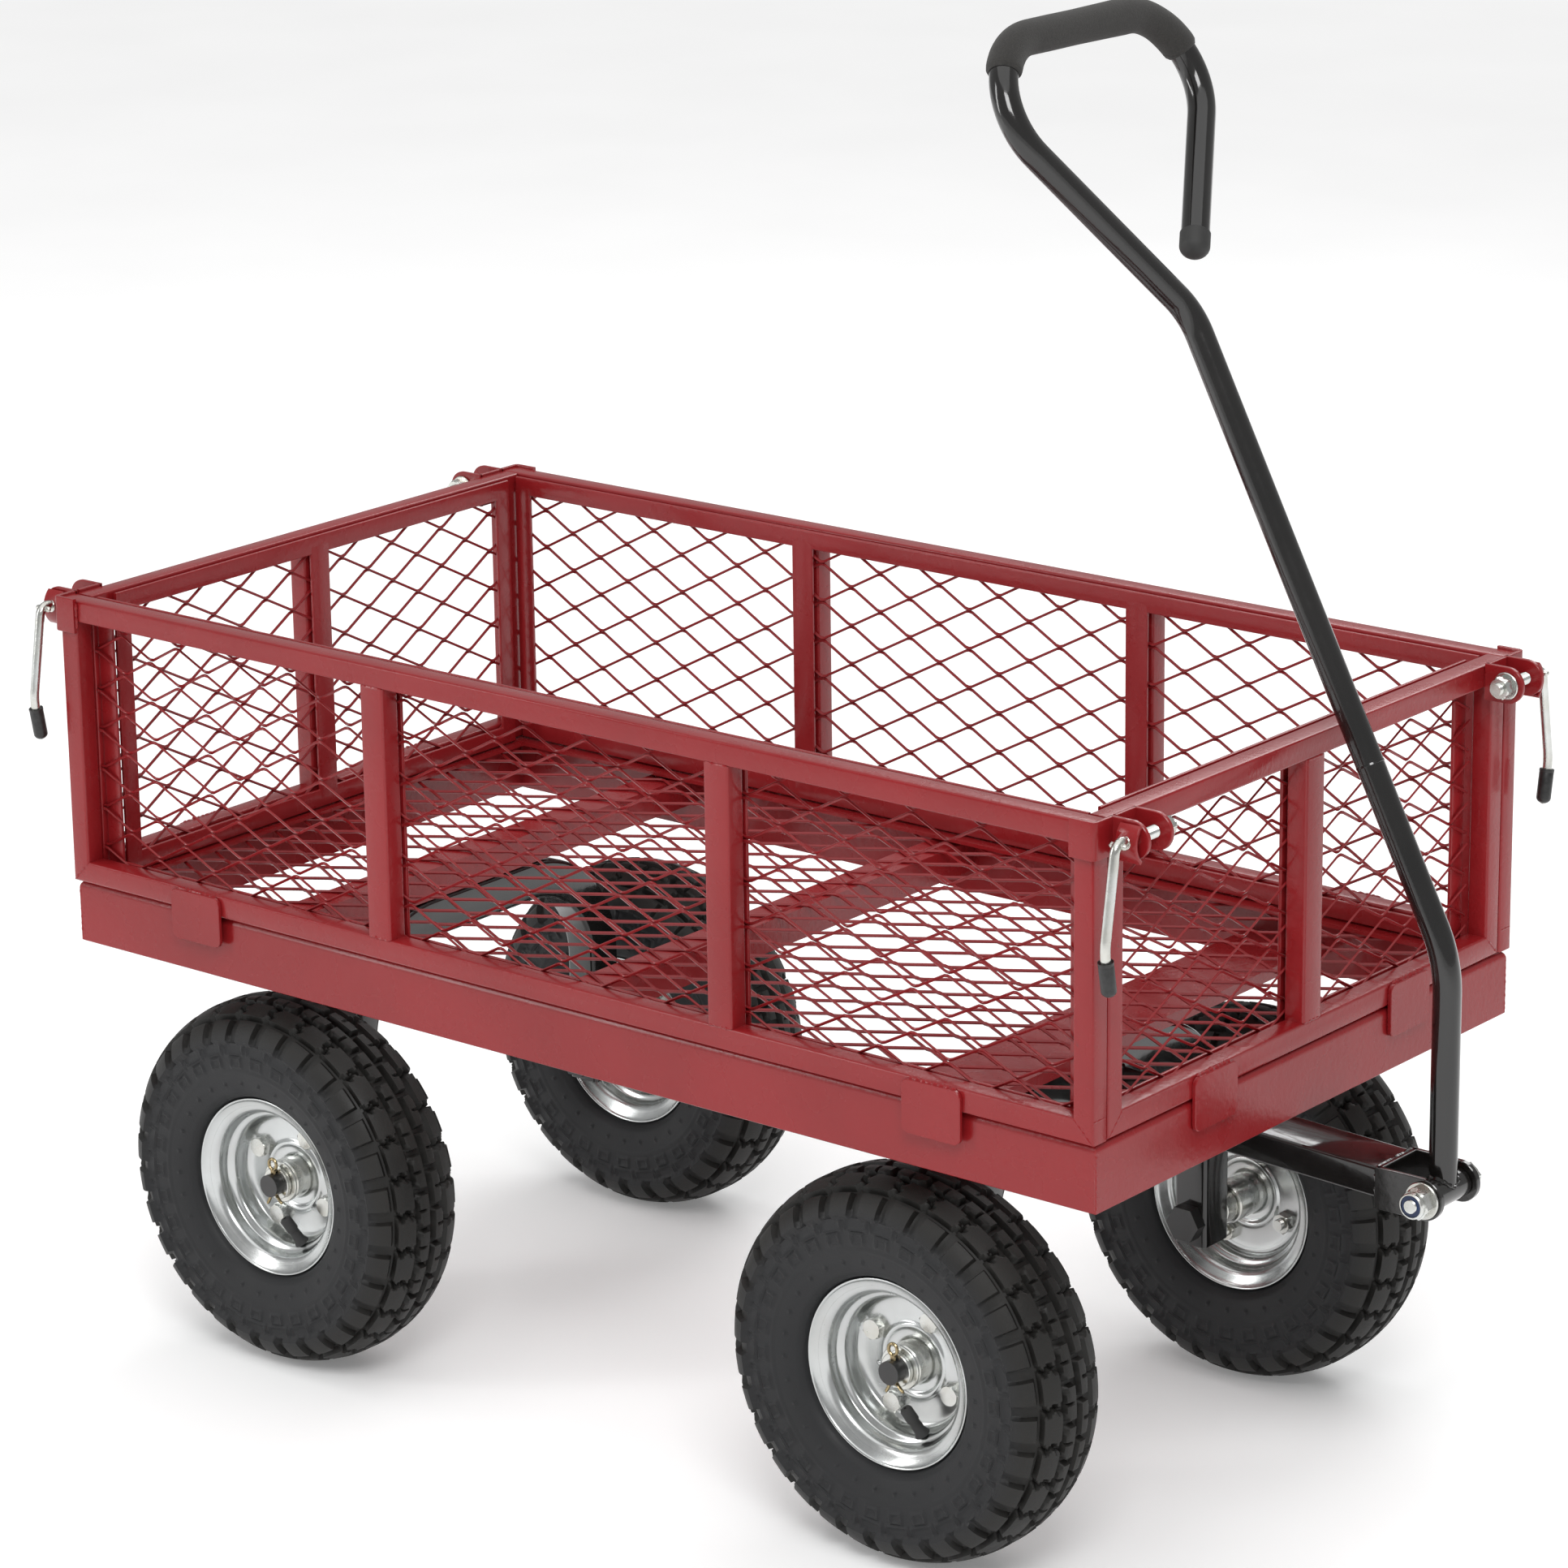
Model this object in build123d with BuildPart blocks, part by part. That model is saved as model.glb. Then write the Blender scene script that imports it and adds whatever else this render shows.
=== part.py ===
"""Garden wagon with a mesh-sided tray, four pneumatic wheels and a pull handle.

Row frame: +X towards the tongue and handle, +Y to the wagon's left, +Z up.
The origin is on the ground under the middle of the whole wagon's length and width.
"""

from build123d import *
from math import atan2, cos, radians, sin, tan
import os

# --- deck -------------------------------------------------------------------
DECK_LENGTH = 864.0          # 34 inch tray
DECK_WIDTH = 457.0           # 18 inch tray
DECK_TOP = 323.5
RIM_HEIGHT = 44.0
RIM_SHEET = 2.5
RIM_FLANGE = 25.0
RIM_BEND = 5.0
MESH_SHEET = 3.0
BED_LONG_PITCH = 60.0        # expanded metal of the bed, between diamonds
BED_SHORT_PITCH = 30.0
BED_MARGIN = 40.0            # plain border of the bed's mesh
MEMBER_WIDTH = 25.0
MEMBER_HEIGHT = 22.0
MEMBER_WALL = 2.0
MIDDLE_MEMBER_X = -16.0      # from the tray's middle
BOLSTER_WIDTH = 60.0
BOLSTER_TOP = 300.0
BOLSTER_SHEET = 3.0
BOLSTER_LIP = 8.0

# --- rack -------------------------------------------------------------------
SIDE_PANEL_WIDTH = 465.4     # over the outer faces of the two side panels
PANEL_OVERHANG = 0.5         # end panels stand proud of the deck's ends
PANEL_BOTTOM = 324.0
PANEL_TOP = 525.0
PANEL_BAR = 15.0             # square frame members
DIVIDER_WIDTH = 20.0
SIDE_DIVIDER_X = 145.0
PANEL_GAP = 0.6              # between an end panel and the side panels
MESH_LAP = 5.0               # mesh sheet behind the rails
PANEL_LONG_PITCH = 52.0
PANEL_SHORT_PITCH = 28.0
TAB_SHEET = 3.0
TAB_WIDTH = 45.0
TAB_DROP = 21.0
TAB_RISE = 14.0
TAB_CORNER = 5.0
SIDE_TAB_X = 313.0
END_TAB_Y = 108.0

# --- corner latches ---------------------------------------------------------
EAR_SHEET = 3.0
EAR_RADIUS = 12.0
EAR_REACH = 17.0             # from the end panels' outer faces to the bolt
EAR_WRAP = 16.0              # along the side panel's outer face
EAR_GAP = 1.0                # between the two ears' strips on one post
CLAMP_BOLT_Z = 514.5
CLAMP_BOLT_RADIUS = 4.0
CLAMP_BOLT_TAIL_Y = 178.0
CLAMP_HOLE_RADIUS = 4.4
CLAMP_WASHER_RADIUS = 9.0
CLAMP_WASHER = 2.0
CLAMP_NUT_RADIUS = 7.5
CLAMP_NUT = 8.0
SIDE_EAR_Y = 216.5           # middle of the side panels' ears
END_EAR_Y = 193.5            # middle of the end panels' ears
SADDLE_RADIUS = 11.0
CAM_PIN_Y = 232.0
CAM_PIN_RADIUS = 2.5
CAM_RADIUS = 6.0
CAM_GAP = 0.3                # between the saddle and the lever's cam
CAM_WIDTH = 16.0
FORK_GAP = 9.0               # slot in the cam that straddles the bolt
FORK_BRIDGE = 4.0
LEVER_RADIUS = 3.2
LEVER_BOW = 13.0             # the rod bows outwards from the pin
LEVER_BOW_DROP = 62.0
LEVER_TAIL = 8.5             # outwards from the pin, at the rod's end
LEVER_DROP = 84.5
LEVER_BEND = 25.0
TIP_RADIUS = 4.8
TIP_LENGTH = 23.0
TIP_CLOSED = 3.0
TIP_ROUND = 1.5

# --- wheels -----------------------------------------------------------------
TYRE_RADIUS = 129.0
TYRE_HALF_WIDTH = 40.0
TYRE_WALL = 7.0
TREAD_HALF_WIDTH = 17.0
TREAD_WALL = 9.0
RIM_RADIUS = 63.0
RIM_SEAT_RADIUS = 52.0
RIM_HALF_WIDTH = 27.7
RIM_WELL_RADIUS = 47.0
RIM_WELL_HALF = 14.0
RIM_STEP_HALF = 18.0
RIM_WALL = 2.0
BEAD_GAP = 0.1
DISC_OUTER = -1.0            # outward from the wheel's middle plane
DISC_INNER = -6.0
HUB_RADIUS = 14.5
HUB_HALF_INNER = 35.0        # from the wheel's middle plane towards the wagon
HUB_HALF_OUTER = 12.0        # from the wheel's middle plane outwards
RIM_BOLT_CIRCLE = 34.0
RIM_BOLT_RADIUS = 4.0
RIM_BOLT_HEAD = 7.5
RIM_BOLT_HEAD_HEIGHT = 5.5
RIM_BOLT_NUT = 6.0
RIM_BOLT_TAIL = 4.0
RIM_BOLT_PHASE = 64.0
VALVE_ANGLE = -70.0
VALVE_OUT = 11.0             # outward from the wheel's middle plane
VALVE_RADIUS = 4.0
VALVE_FOOT = 44.7            # from the axle, where the stem leaves the well
VALVE_LENGTH = 18.0
TRACK_HALF = 188.0
REAR_AXLE_X = -276.0         # from the tray's middle
FRONT_AXLE_X = 262.0

# --- axles ------------------------------------------------------------------
AXLE_RADIUS = 7.8
AXLE_CLEARANCE = 0.06
AXLE_END = 214.0
AXLE_HEAD_RADIUS = 13.0
AXLE_HEAD = 9.0
END_PLAY = 0.3
INNER_SPACER_RADIUS = 12.0
OUTER_SPACER_RADIUS = 14.0
COTTER_Y = 209.0
COTTER_RADIUS = 1.6
COTTER_HOLE = 1.7
COTTER_EYE = 3.0
COTTER_LENGTH = 26.0

# --- axle arches and kingpin --------------------------------------------------
ARCH_WIDTH = 25.0
ARCH_DEPTH = 28.0
ARCH_WALL = 2.5
ARCH_HALF_SPAN = 141.0
ARCH_BEND = 90.0
LEG_BOTTOM = 112.0
REAR_ARCH_TOP = 295.5
FRONT_ARCH_TOP = 286.0
KINGPIN_RADIUS = 7.0
KINGPIN_CLEARANCE = 0.06
KINGPIN_HEAD_RADIUS = 12.0
KINGPIN_HEAD = 8.0
KINGPIN_NUT = 12.0
KINGPIN_TAIL = 4.0
THRUST_RADIUS = 17.0

# --- tongue, clevis and handle ------------------------------------------------
TONGUE_WIDTH = 40.0
TONGUE_HEIGHT = 20.0
TONGUE_WALL = 2.0
TONGUE_END = 495.0           # from the tray's middle
TONGUE_TOP_END = 261.0
TONGUE_SLOPE = 0.037         # the tube falls towards the clevis
PIVOT_X = 530.5
PIVOT_Z = 248.5
CLEVIS_SHEET = 4.0
CLEVIS_HALF_WIDTH = 22.5
CLEVIS_RADIUS = 13.5
CLEVIS_DEPTH = 60.0
CLEVIS_BOLT_RADIUS = 6.0
CLEVIS_HEAD_RADIUS = 10.5
CLEVIS_HEAD = 7.0
CLEVIS_WASHER_RADIUS = 12.0
CLEVIS_WASHER = 2.5
CLEVIS_NUT = 8.0
CLEVIS_COLLAR = 3.5
CLEVIS_TAIL = 17.0
SLEEVE_RADIUS = 9.6
SLEEVE_HALF_LENGTH = 18.0
HANDLE_RADIUS = 9.0
HANDLE_WALL = 1.5
HANDLE_BEND_Z = 398.0        # lower bend
HANDLE_JOINT_Z = 512.0       # where the upper tube meets the lower one
LOWER_BEND = 90.0
SPIGOT_LENGTH = 40.0
SPIGOT_CLEARANCE = 0.05
APEX_X = 336.0               # where the loop starts
APEX_Z = 776.0
LOOP_LENGTH = 189.0
LOOP_HALF_WIDTH = 139.0
LOOP_BEND = 45.0
LOOP_END_SHARE = 0.21        # the free end stops this far up its leg
GRIP_RADIUS = 11.3
GRIP_FIT = 0.02
GRIP_WRAP_RIGHT = 54.0       # degrees of foam round the right bend
GRIP_WRAP_LEFT = 70.0
CAP_LENGTH = 9.0
CAP_ROUND = 4.0

SIDE_Y = SIDE_PANEL_WIDTH / 2
END_X = DECK_LENGTH / 2 + PANEL_OVERHANG
REAR_REACH = END_X + EAR_REACH + EAR_RADIUS
FRONT_REACH = PIVOT_X + CLEVIS_RADIUS
TRAY_X = (REAR_REACH - FRONT_REACH) / 2
EAR_X = END_X + EAR_REACH
CORNERS = [(end, side) for end in (-1, 1) for side in (-1, 1)]
BED_TOP = DECK_TOP - RIM_SHEET
MEMBER_TOP = BED_TOP - MESH_SHEET

os.makedirs("parts", exist_ok=True)


def save(part, name):
    """Label a finished piece and write it as the node of that name."""
    part.label = name
    export_step(part, f"parts/{name}.step")


# ============================================================ deck and bed
# The rim is one bent sheet: an outer web, a rounded top bend and a flange
# that runs inwards all round and carries the rack.
with BuildPart() as deck_frame:
    with BuildSketch(Plane.XY.offset(DECK_TOP - RIM_HEIGHT)):
        with Locations((TRAY_X, 0)):
            Rectangle(DECK_LENGTH, DECK_WIDTH)
            Rectangle(DECK_LENGTH - 2 * RIM_SHEET, DECK_WIDTH - 2 * RIM_SHEET, mode=Mode.SUBTRACT)
    extrude(amount=RIM_HEIGHT)
    with BuildSketch(Plane.XY.offset(DECK_TOP - RIM_SHEET)):
        with Locations((TRAY_X, 0)):
            Rectangle(DECK_LENGTH, DECK_WIDTH)
            Rectangle(DECK_LENGTH - 2 * RIM_FLANGE, DECK_WIDTH - 2 * RIM_FLANGE, mode=Mode.SUBTRACT)
    extrude(amount=RIM_SHEET)
    top_face = deck_frame.faces().sort_by(Axis.Z)[-1]
    fillet(top_face.outer_wire().edges(), RIM_BEND)
save(deck_frame.part, "deck_frame")


def diamond_holes(long_pitch, short_pitch, length, height):
    """Cut the staggered diamond openings of expanded metal into the open sketch."""
    columns = int(length / long_pitch)
    rows = int(height / short_pitch)
    half_long = 0.43 * long_pitch
    half_short = 0.41 * short_pitch
    corners = [(-half_long, 0), (0, -half_short), (half_long, 0), (0, half_short)]
    with GridLocations(long_pitch, short_pitch, columns, rows):
        Polygon(*corners, mode=Mode.SUBTRACT)
    with GridLocations(long_pitch, short_pitch, columns - 1, rows - 1):
        Polygon(*corners, mode=Mode.SUBTRACT)


# Expanded metal lies under the flange and fills the rim from web to web.
with BuildPart() as bed_mesh:
    with BuildSketch(Plane.XY.offset(MEMBER_TOP)):
        with Locations((TRAY_X, 0)):
            Rectangle(DECK_LENGTH - 2 * RIM_SHEET, DECK_WIDTH - 2 * RIM_SHEET)
            open_length = DECK_LENGTH - BED_MARGIN
            open_width = DECK_WIDTH - BED_MARGIN
            diamond_holes(BED_LONG_PITCH, BED_SHORT_PITCH, open_length, open_width)
    extrude(amount=MESH_SHEET)
save(bed_mesh.part, "bed_mesh")

# Two box sections cross the deck under the mesh, over the rear axle and amidships.
with BuildPart() as cross_members:
    for member_x in (REAR_AXLE_X, MIDDLE_MEMBER_X):
        with BuildSketch(Plane.XZ):
            with Locations((TRAY_X + member_x, MEMBER_TOP - MEMBER_HEIGHT / 2)):
                Rectangle(MEMBER_WIDTH, MEMBER_HEIGHT)
                Rectangle(
                    MEMBER_WIDTH - 2 * MEMBER_WALL, MEMBER_HEIGHT - 2 * MEMBER_WALL, mode=Mode.SUBTRACT
                )
        extrude(amount=DECK_WIDTH / 2 - RIM_SHEET, both=True)
save(cross_members.part, "cross_members")

# A plate with down-turned lips spans the front and carries the kingpin.
with BuildPart() as front_bolster:
    bolster_x = TRAY_X + FRONT_AXLE_X
    with BuildSketch(Plane.XZ):
        with Locations((bolster_x, BOLSTER_TOP - BOLSTER_LIP / 2)):
            Rectangle(BOLSTER_WIDTH, BOLSTER_LIP)
        with Locations((bolster_x, BOLSTER_TOP - BOLSTER_LIP / 2 - BOLSTER_SHEET)):
            Rectangle(BOLSTER_WIDTH - 2 * BOLSTER_SHEET, BOLSTER_LIP, mode=Mode.SUBTRACT)
    extrude(amount=DECK_WIDTH / 2 - RIM_SHEET, both=True)
    with Locations((bolster_x, 0, BOLSTER_TOP)):
        Hole(KINGPIN_RADIUS + KINGPIN_CLEARANCE, depth=2 * BOLSTER_LIP)
save(front_bolster.part, "front_bolster")


# ============================================================ axle arches
def arch_outline(axle_x, top, inset):
    """Return the closed outline of the bent tube, inset by the wall for its hollow."""
    half = ARCH_HALF_SPAN - inset
    inner = ARCH_HALF_SPAN - ARCH_DEPTH + inset
    flat = ARCH_HALF_SPAN - ARCH_BEND
    spring = top - ARCH_BEND
    outer_bend = ARCH_BEND - inset
    inner_bend = ARCH_BEND - ARCH_DEPTH + inset
    foot = LEG_BOTTOM - 4 * inset
    with BuildSketch(Plane.YZ.offset(axle_x)) as outline:
        with BuildLine():
            Line((-half, foot), (-half, spring))
            CenterArc((-flat, spring), outer_bend, 90, 90)
            Line((-flat, spring + outer_bend), (flat, spring + outer_bend))
            CenterArc((flat, spring), outer_bend, 0, 90)
            Line((half, spring), (half, foot))
            Line((half, foot), (inner, foot))
            Line((inner, foot), (inner, spring))
            CenterArc((flat, spring), inner_bend, 0, 90)
            Line((flat, spring + inner_bend), (-flat, spring + inner_bend))
            CenterArc((-flat, spring), inner_bend, 90, 90)
            Line((-inner, spring), (-inner, foot))
            Line((-inner, foot), (-half, foot))
        make_face()
    return outline.sketch


def axle_arch(axle_x, top):
    """Return the square tube bent into an arch, with holes for the two axle bolts."""
    with BuildPart() as arch:
        extrude(arch_outline(axle_x, top, 0), amount=ARCH_WIDTH / 2, both=True)
        hollow = arch_outline(axle_x, top, ARCH_WALL)
        extrude(hollow, amount=ARCH_WIDTH / 2 - ARCH_WALL, both=True, mode=Mode.SUBTRACT)
        with BuildSketch(Plane.XZ):
            with Locations((axle_x, TYRE_RADIUS)):
                Circle(AXLE_RADIUS + AXLE_CLEARANCE)
        extrude(amount=ARCH_HALF_SPAN + 1, both=True, mode=Mode.SUBTRACT)
    return arch.part


save(axle_arch(TRAY_X + REAR_AXLE_X, REAR_ARCH_TOP), "rear_axle_bracket")

with BuildPart() as front_axle_bracket:
    add(axle_arch(TRAY_X + FRONT_AXLE_X, FRONT_ARCH_TOP))
    with Locations((TRAY_X + FRONT_AXLE_X, 0, FRONT_ARCH_TOP)):
        Hole(KINGPIN_RADIUS + KINGPIN_CLEARANCE, depth=ARCH_DEPTH + 1)
save(front_axle_bracket.part, "front_axle_bracket")


def axle_bolts(axle_x):
    """Return the pair of axle bolts, heads inside the legs, drilled for cotter pins."""
    with BuildPart() as bolts:
        for side in (-1, 1):
            inner_face = ARCH_HALF_SPAN - ARCH_DEPTH
            with BuildSketch(Plane.XZ.offset(-side * inner_face)):
                with Locations((axle_x, TYRE_RADIUS)):
                    Circle(AXLE_RADIUS)
            extrude(amount=-side * (AXLE_END - inner_face))
            with BuildSketch(Plane.XZ.offset(-side * inner_face)):
                with Locations((axle_x, TYRE_RADIUS)):
                    RegularPolygon(AXLE_HEAD_RADIUS, 6)
            extrude(amount=side * AXLE_HEAD)
            with Locations((axle_x, side * COTTER_Y, TYRE_RADIUS)):
                Cylinder(COTTER_HOLE, 3 * AXLE_RADIUS, mode=Mode.SUBTRACT)
    return bolts.part


save(axle_bolts(TRAY_X + REAR_AXLE_X), "rear_axles")
save(axle_bolts(TRAY_X + FRONT_AXLE_X), "front_axles")


def axle_washers(axle_x):
    """Return the spacers inside and outside the hubs with the cotter pins."""
    hub_inner = TRACK_HALF - HUB_HALF_INNER - END_PLAY
    hub_outer = TRACK_HALF + HUB_HALF_OUTER + END_PLAY
    washer_end = COTTER_Y - COTTER_RADIUS - END_PLAY
    eye_z = TYRE_RADIUS + COTTER_LENGTH / 2 + COTTER_EYE - COTTER_RADIUS
    with BuildPart() as washers:
        for side in (-1, 1):
            for start, stop, radius in (
                (ARCH_HALF_SPAN, hub_inner, INNER_SPACER_RADIUS),
                (hub_outer, washer_end, OUTER_SPACER_RADIUS),
            ):
                with BuildSketch(Plane.XZ.offset(-side * start)):
                    with Locations((axle_x, TYRE_RADIUS)):
                        Circle(radius)
                        Circle(AXLE_RADIUS + AXLE_CLEARANCE, mode=Mode.SUBTRACT)
                extrude(amount=-side * (stop - start))
            with Locations((axle_x, side * COTTER_Y, TYRE_RADIUS)):
                Cylinder(COTTER_RADIUS, COTTER_LENGTH)
            with Locations((axle_x, side * COTTER_Y, eye_z)):
                Torus(COTTER_EYE, COTTER_RADIUS, rotation=(90, 0, 0))
    return washers.part


save(axle_washers(TRAY_X + REAR_AXLE_X), "rear_axle_washers")
save(axle_washers(TRAY_X + FRONT_AXLE_X), "front_axle_washers")

# The kingpin hangs from the bolster, through the spacer and the front arch.
with BuildPart() as kingpin:
    kingpin_x = TRAY_X + FRONT_AXLE_X
    nut_top = FRONT_ARCH_TOP - ARCH_DEPTH - END_PLAY
    with BuildSketch(Plane.XY.offset(BOLSTER_TOP)):
        with Locations((kingpin_x, 0)):
            RegularPolygon(KINGPIN_HEAD_RADIUS, 6)
    extrude(amount=KINGPIN_HEAD)
    with BuildSketch(Plane.XY.offset(BOLSTER_TOP)):
        with Locations((kingpin_x, 0)):
            Circle(KINGPIN_RADIUS)
    extrude(amount=-(BOLSTER_TOP - nut_top + KINGPIN_NUT + KINGPIN_TAIL))
    with BuildSketch(Plane.XY.offset(nut_top)):
        with Locations((kingpin_x, 0)):
            RegularPolygon(KINGPIN_HEAD_RADIUS, 6)
    extrude(amount=-KINGPIN_NUT)
save(kingpin.part, "kingpin")

with BuildPart() as thrust_washer:
    with BuildSketch(Plane.XY.offset(FRONT_ARCH_TOP + END_PLAY)):
        with Locations((TRAY_X + FRONT_AXLE_X, 0)):
            Circle(THRUST_RADIUS)
            Circle(KINGPIN_RADIUS + KINGPIN_CLEARANCE, mode=Mode.SUBTRACT)
    extrude(amount=BOLSTER_TOP - BOLSTER_SHEET - FRONT_ARCH_TOP - END_PLAY)
save(thrust_washer.part, "thrust_washer")

# ============================================================ tongue and clevis
with BuildPart() as tongue:
    root_x = TRAY_X + FRONT_AXLE_X + ARCH_WIDTH / 2
    tip_x = TRAY_X + TONGUE_END
    root_top = TONGUE_TOP_END + TONGUE_SLOPE * (tip_x - root_x)
    for inset, operation in ((0, Mode.ADD), (TONGUE_WALL, Mode.SUBTRACT)):
        with BuildSketch(Plane.XZ):
            with BuildLine():
                Polyline(
                    (root_x, root_top - inset),
                    (tip_x, TONGUE_TOP_END - inset),
                    (tip_x, TONGUE_TOP_END - TONGUE_HEIGHT + inset),
                    (root_x, root_top - TONGUE_HEIGHT + inset),
                    close=True,
                )
            make_face()
        extrude(amount=TONGUE_WIDTH / 2 - inset, both=True, mode=operation)
save(tongue.part, "tongue")

# One bent plate: a web welded to the tongue's end and two round-ended ears.
with BuildPart() as clevis:
    web_x = TRAY_X + TONGUE_END
    pivot_x = TRAY_X + PIVOT_X
    with BuildSketch(Plane.XZ):
        with BuildLine():
            Line((web_x, PIVOT_Z - CLEVIS_RADIUS), (pivot_x, PIVOT_Z - CLEVIS_RADIUS))
            CenterArc((pivot_x, PIVOT_Z), CLEVIS_RADIUS, -90, 180)
            Line((pivot_x, PIVOT_Z + CLEVIS_RADIUS), (web_x, PIVOT_Z + CLEVIS_RADIUS))
            Line((web_x, PIVOT_Z + CLEVIS_RADIUS), (web_x, PIVOT_Z - CLEVIS_RADIUS))
        make_face()
    extrude(amount=CLEVIS_HALF_WIDTH, both=True)
    with BuildSketch(Plane.XZ):
        with Locations((web_x + CLEVIS_SHEET + CLEVIS_DEPTH / 2, PIVOT_Z)):
            Rectangle(CLEVIS_DEPTH, 3 * CLEVIS_RADIUS)
    extrude(amount=CLEVIS_HALF_WIDTH - CLEVIS_SHEET, both=True, mode=Mode.SUBTRACT)
    with BuildSketch(Plane.XZ):
        with Locations((pivot_x, PIVOT_Z)):
            Circle(CLEVIS_BOLT_RADIUS + AXLE_CLEARANCE)
    extrude(amount=CLEVIS_HALF_WIDTH + 1, both=True, mode=Mode.SUBTRACT)
save(clevis.part, "clevis")

# The bolt's head is on the left ear, a washer and a lock nut are on the right one.
with BuildPart() as clevis_bolt:
    washer_y = -CLEVIS_HALF_WIDTH - CLEVIS_WASHER
    nut_y = washer_y - CLEVIS_NUT
    collar_y = nut_y - CLEVIS_COLLAR
    tail_y = -CLEVIS_HALF_WIDTH - CLEVIS_TAIL
    for radius, corners, start, stop in (
        (CLEVIS_BOLT_RADIUS, 0, tail_y, CLEVIS_HALF_WIDTH),
        (CLEVIS_HEAD_RADIUS, 6, CLEVIS_HALF_WIDTH, CLEVIS_HALF_WIDTH + CLEVIS_HEAD),
        (CLEVIS_WASHER_RADIUS, 0, washer_y, -CLEVIS_HALF_WIDTH),
        (CLEVIS_HEAD_RADIUS, 6, nut_y, washer_y),
        (CLEVIS_HEAD_RADIUS - CLEVIS_SHEET / 2, 0, collar_y, nut_y),
    ):
        with BuildSketch(Plane.XZ.offset(-start)):
            with Locations((TRAY_X + PIVOT_X, PIVOT_Z)):
                if corners:
                    RegularPolygon(radius, corners)
                else:
                    Circle(radius)
        extrude(amount=start - stop)
save(clevis_bolt.part, "clevis_bolt")

# ============================================================ handle
with BuildPart() as handle_sleeve:
    with BuildSketch(Plane.XZ):
        with Locations((TRAY_X + PIVOT_X, PIVOT_Z)):
            Circle(SLEEVE_RADIUS)
            Circle(CLEVIS_BOLT_RADIUS + AXLE_CLEARANCE, mode=Mode.SUBTRACT)
    extrude(amount=SLEEVE_HALF_LENGTH, both=True)
save(handle_sleeve.part, "handle_sleeve")

# Above the lower bend the whole handle lies in one leaning plane. Its sketch
# axes are the wagon's left (first) and the way up the tube (second).
handle_x = TRAY_X + PIVOT_X
lean = Vector(TRAY_X + APEX_X - handle_x, 0, APEX_Z - HANDLE_BEND_Z)
apex_rise = lean.length
up_tube = lean.normalized()
leftwards = Vector(0, 1, 0)
lean_plane = Plane(origin=(handle_x, 0, HANDLE_BEND_Z), x_dir=leftwards, z_dir=leftwards.cross(up_tube))
joint_rise = (HANDLE_JOINT_Z - HANDLE_BEND_Z) / up_tube.Z
loop_top = apex_rise + LOOP_LENGTH
SPIGOT_RADIUS = HANDLE_RADIUS - HANDLE_WALL - SPIGOT_CLEARANCE


def tube_profile(path, outer, bore):
    """Return a tube's round section, square to the start of its path."""
    with BuildSketch(Plane(origin=path @ 0, z_dir=path % 0)) as profile:
        Circle(outer)
        Circle(bore, mode=Mode.SUBTRACT)
    return profile.sketch


with BuildPart() as handle_lower_tube:
    joint_x = handle_x + up_tube.X * joint_rise
    with BuildLine(Plane.XZ) as lower_path:
        FilletPolyline(
            (handle_x, PIVOT_Z), (handle_x, HANDLE_BEND_Z), (joint_x, HANDLE_JOINT_Z), radius=LOWER_BEND
        )
    lower_wire = lower_path.wire()
    sweep(tube_profile(lower_wire, HANDLE_RADIUS, HANDLE_RADIUS - HANDLE_WALL), path=lower_wire)
    with BuildSketch(Plane.XZ):
        with Locations((handle_x, PIVOT_Z)):
            Circle(SLEEVE_RADIUS)
    extrude(amount=2 * HANDLE_RADIUS, both=True, mode=Mode.SUBTRACT)
save(handle_lower_tube.part, "handle_lower_tube")

# The upper tube has a swaged spigot in the lower one. It turns off to the right,
# crosses over under the grip and comes part way back.
with BuildPart() as handle_upper_tube:
    with BuildLine(lean_plane) as upper_path:
        FilletPolyline(
            (0, joint_rise),
            (0, apex_rise),
            (-LOOP_HALF_WIDTH, loop_top),
            (LOOP_HALF_WIDTH, loop_top),
            (LOOP_END_SHARE * LOOP_HALF_WIDTH, apex_rise + LOOP_END_SHARE * LOOP_LENGTH),
            radius=LOOP_BEND,
        )
    upper_wire = upper_path.wire()
    sweep(tube_profile(upper_wire, HANDLE_RADIUS, HANDLE_RADIUS - HANDLE_WALL), path=upper_wire)
    with BuildSketch(Plane(origin=upper_wire @ 0, z_dir=-up_tube)):
        Circle(SPIGOT_RADIUS)
        Circle(SPIGOT_RADIUS - HANDLE_WALL, mode=Mode.SUBTRACT)
    extrude(amount=SPIGOT_LENGTH)
    with BuildSketch(Plane(origin=upper_wire @ 0, z_dir=up_tube)):
        Circle(HANDLE_RADIUS)
        Circle(SPIGOT_RADIUS - HANDLE_WALL, mode=Mode.SUBTRACT)
    extrude(amount=HANDLE_WALL)
save(handle_upper_tube.part, "handle_upper_tube")

# Foam covers the straight top of the loop and most of its two bends.
with BuildPart() as handle_grip:
    leg_angle = atan2(LOOP_LENGTH, LOOP_HALF_WIDTH)
    straight_half = LOOP_HALF_WIDTH - LOOP_BEND / tan(leg_angle / 2)
    bend_rise = loop_top - LOOP_BEND
    with BuildLine(lean_plane) as grip_path:
        CenterArc((-straight_half, bend_rise), LOOP_BEND, 90 + GRIP_WRAP_RIGHT, -GRIP_WRAP_RIGHT)
        Line((-straight_half, loop_top), (straight_half, loop_top))
        CenterArc((straight_half, bend_rise), LOOP_BEND, 90, -GRIP_WRAP_LEFT)
    grip_wire = grip_path.wire()
    sweep(tube_profile(grip_wire, GRIP_RADIUS, HANDLE_RADIUS + GRIP_FIT), path=grip_wire)
save(handle_grip.part, "handle_grip")

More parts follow.
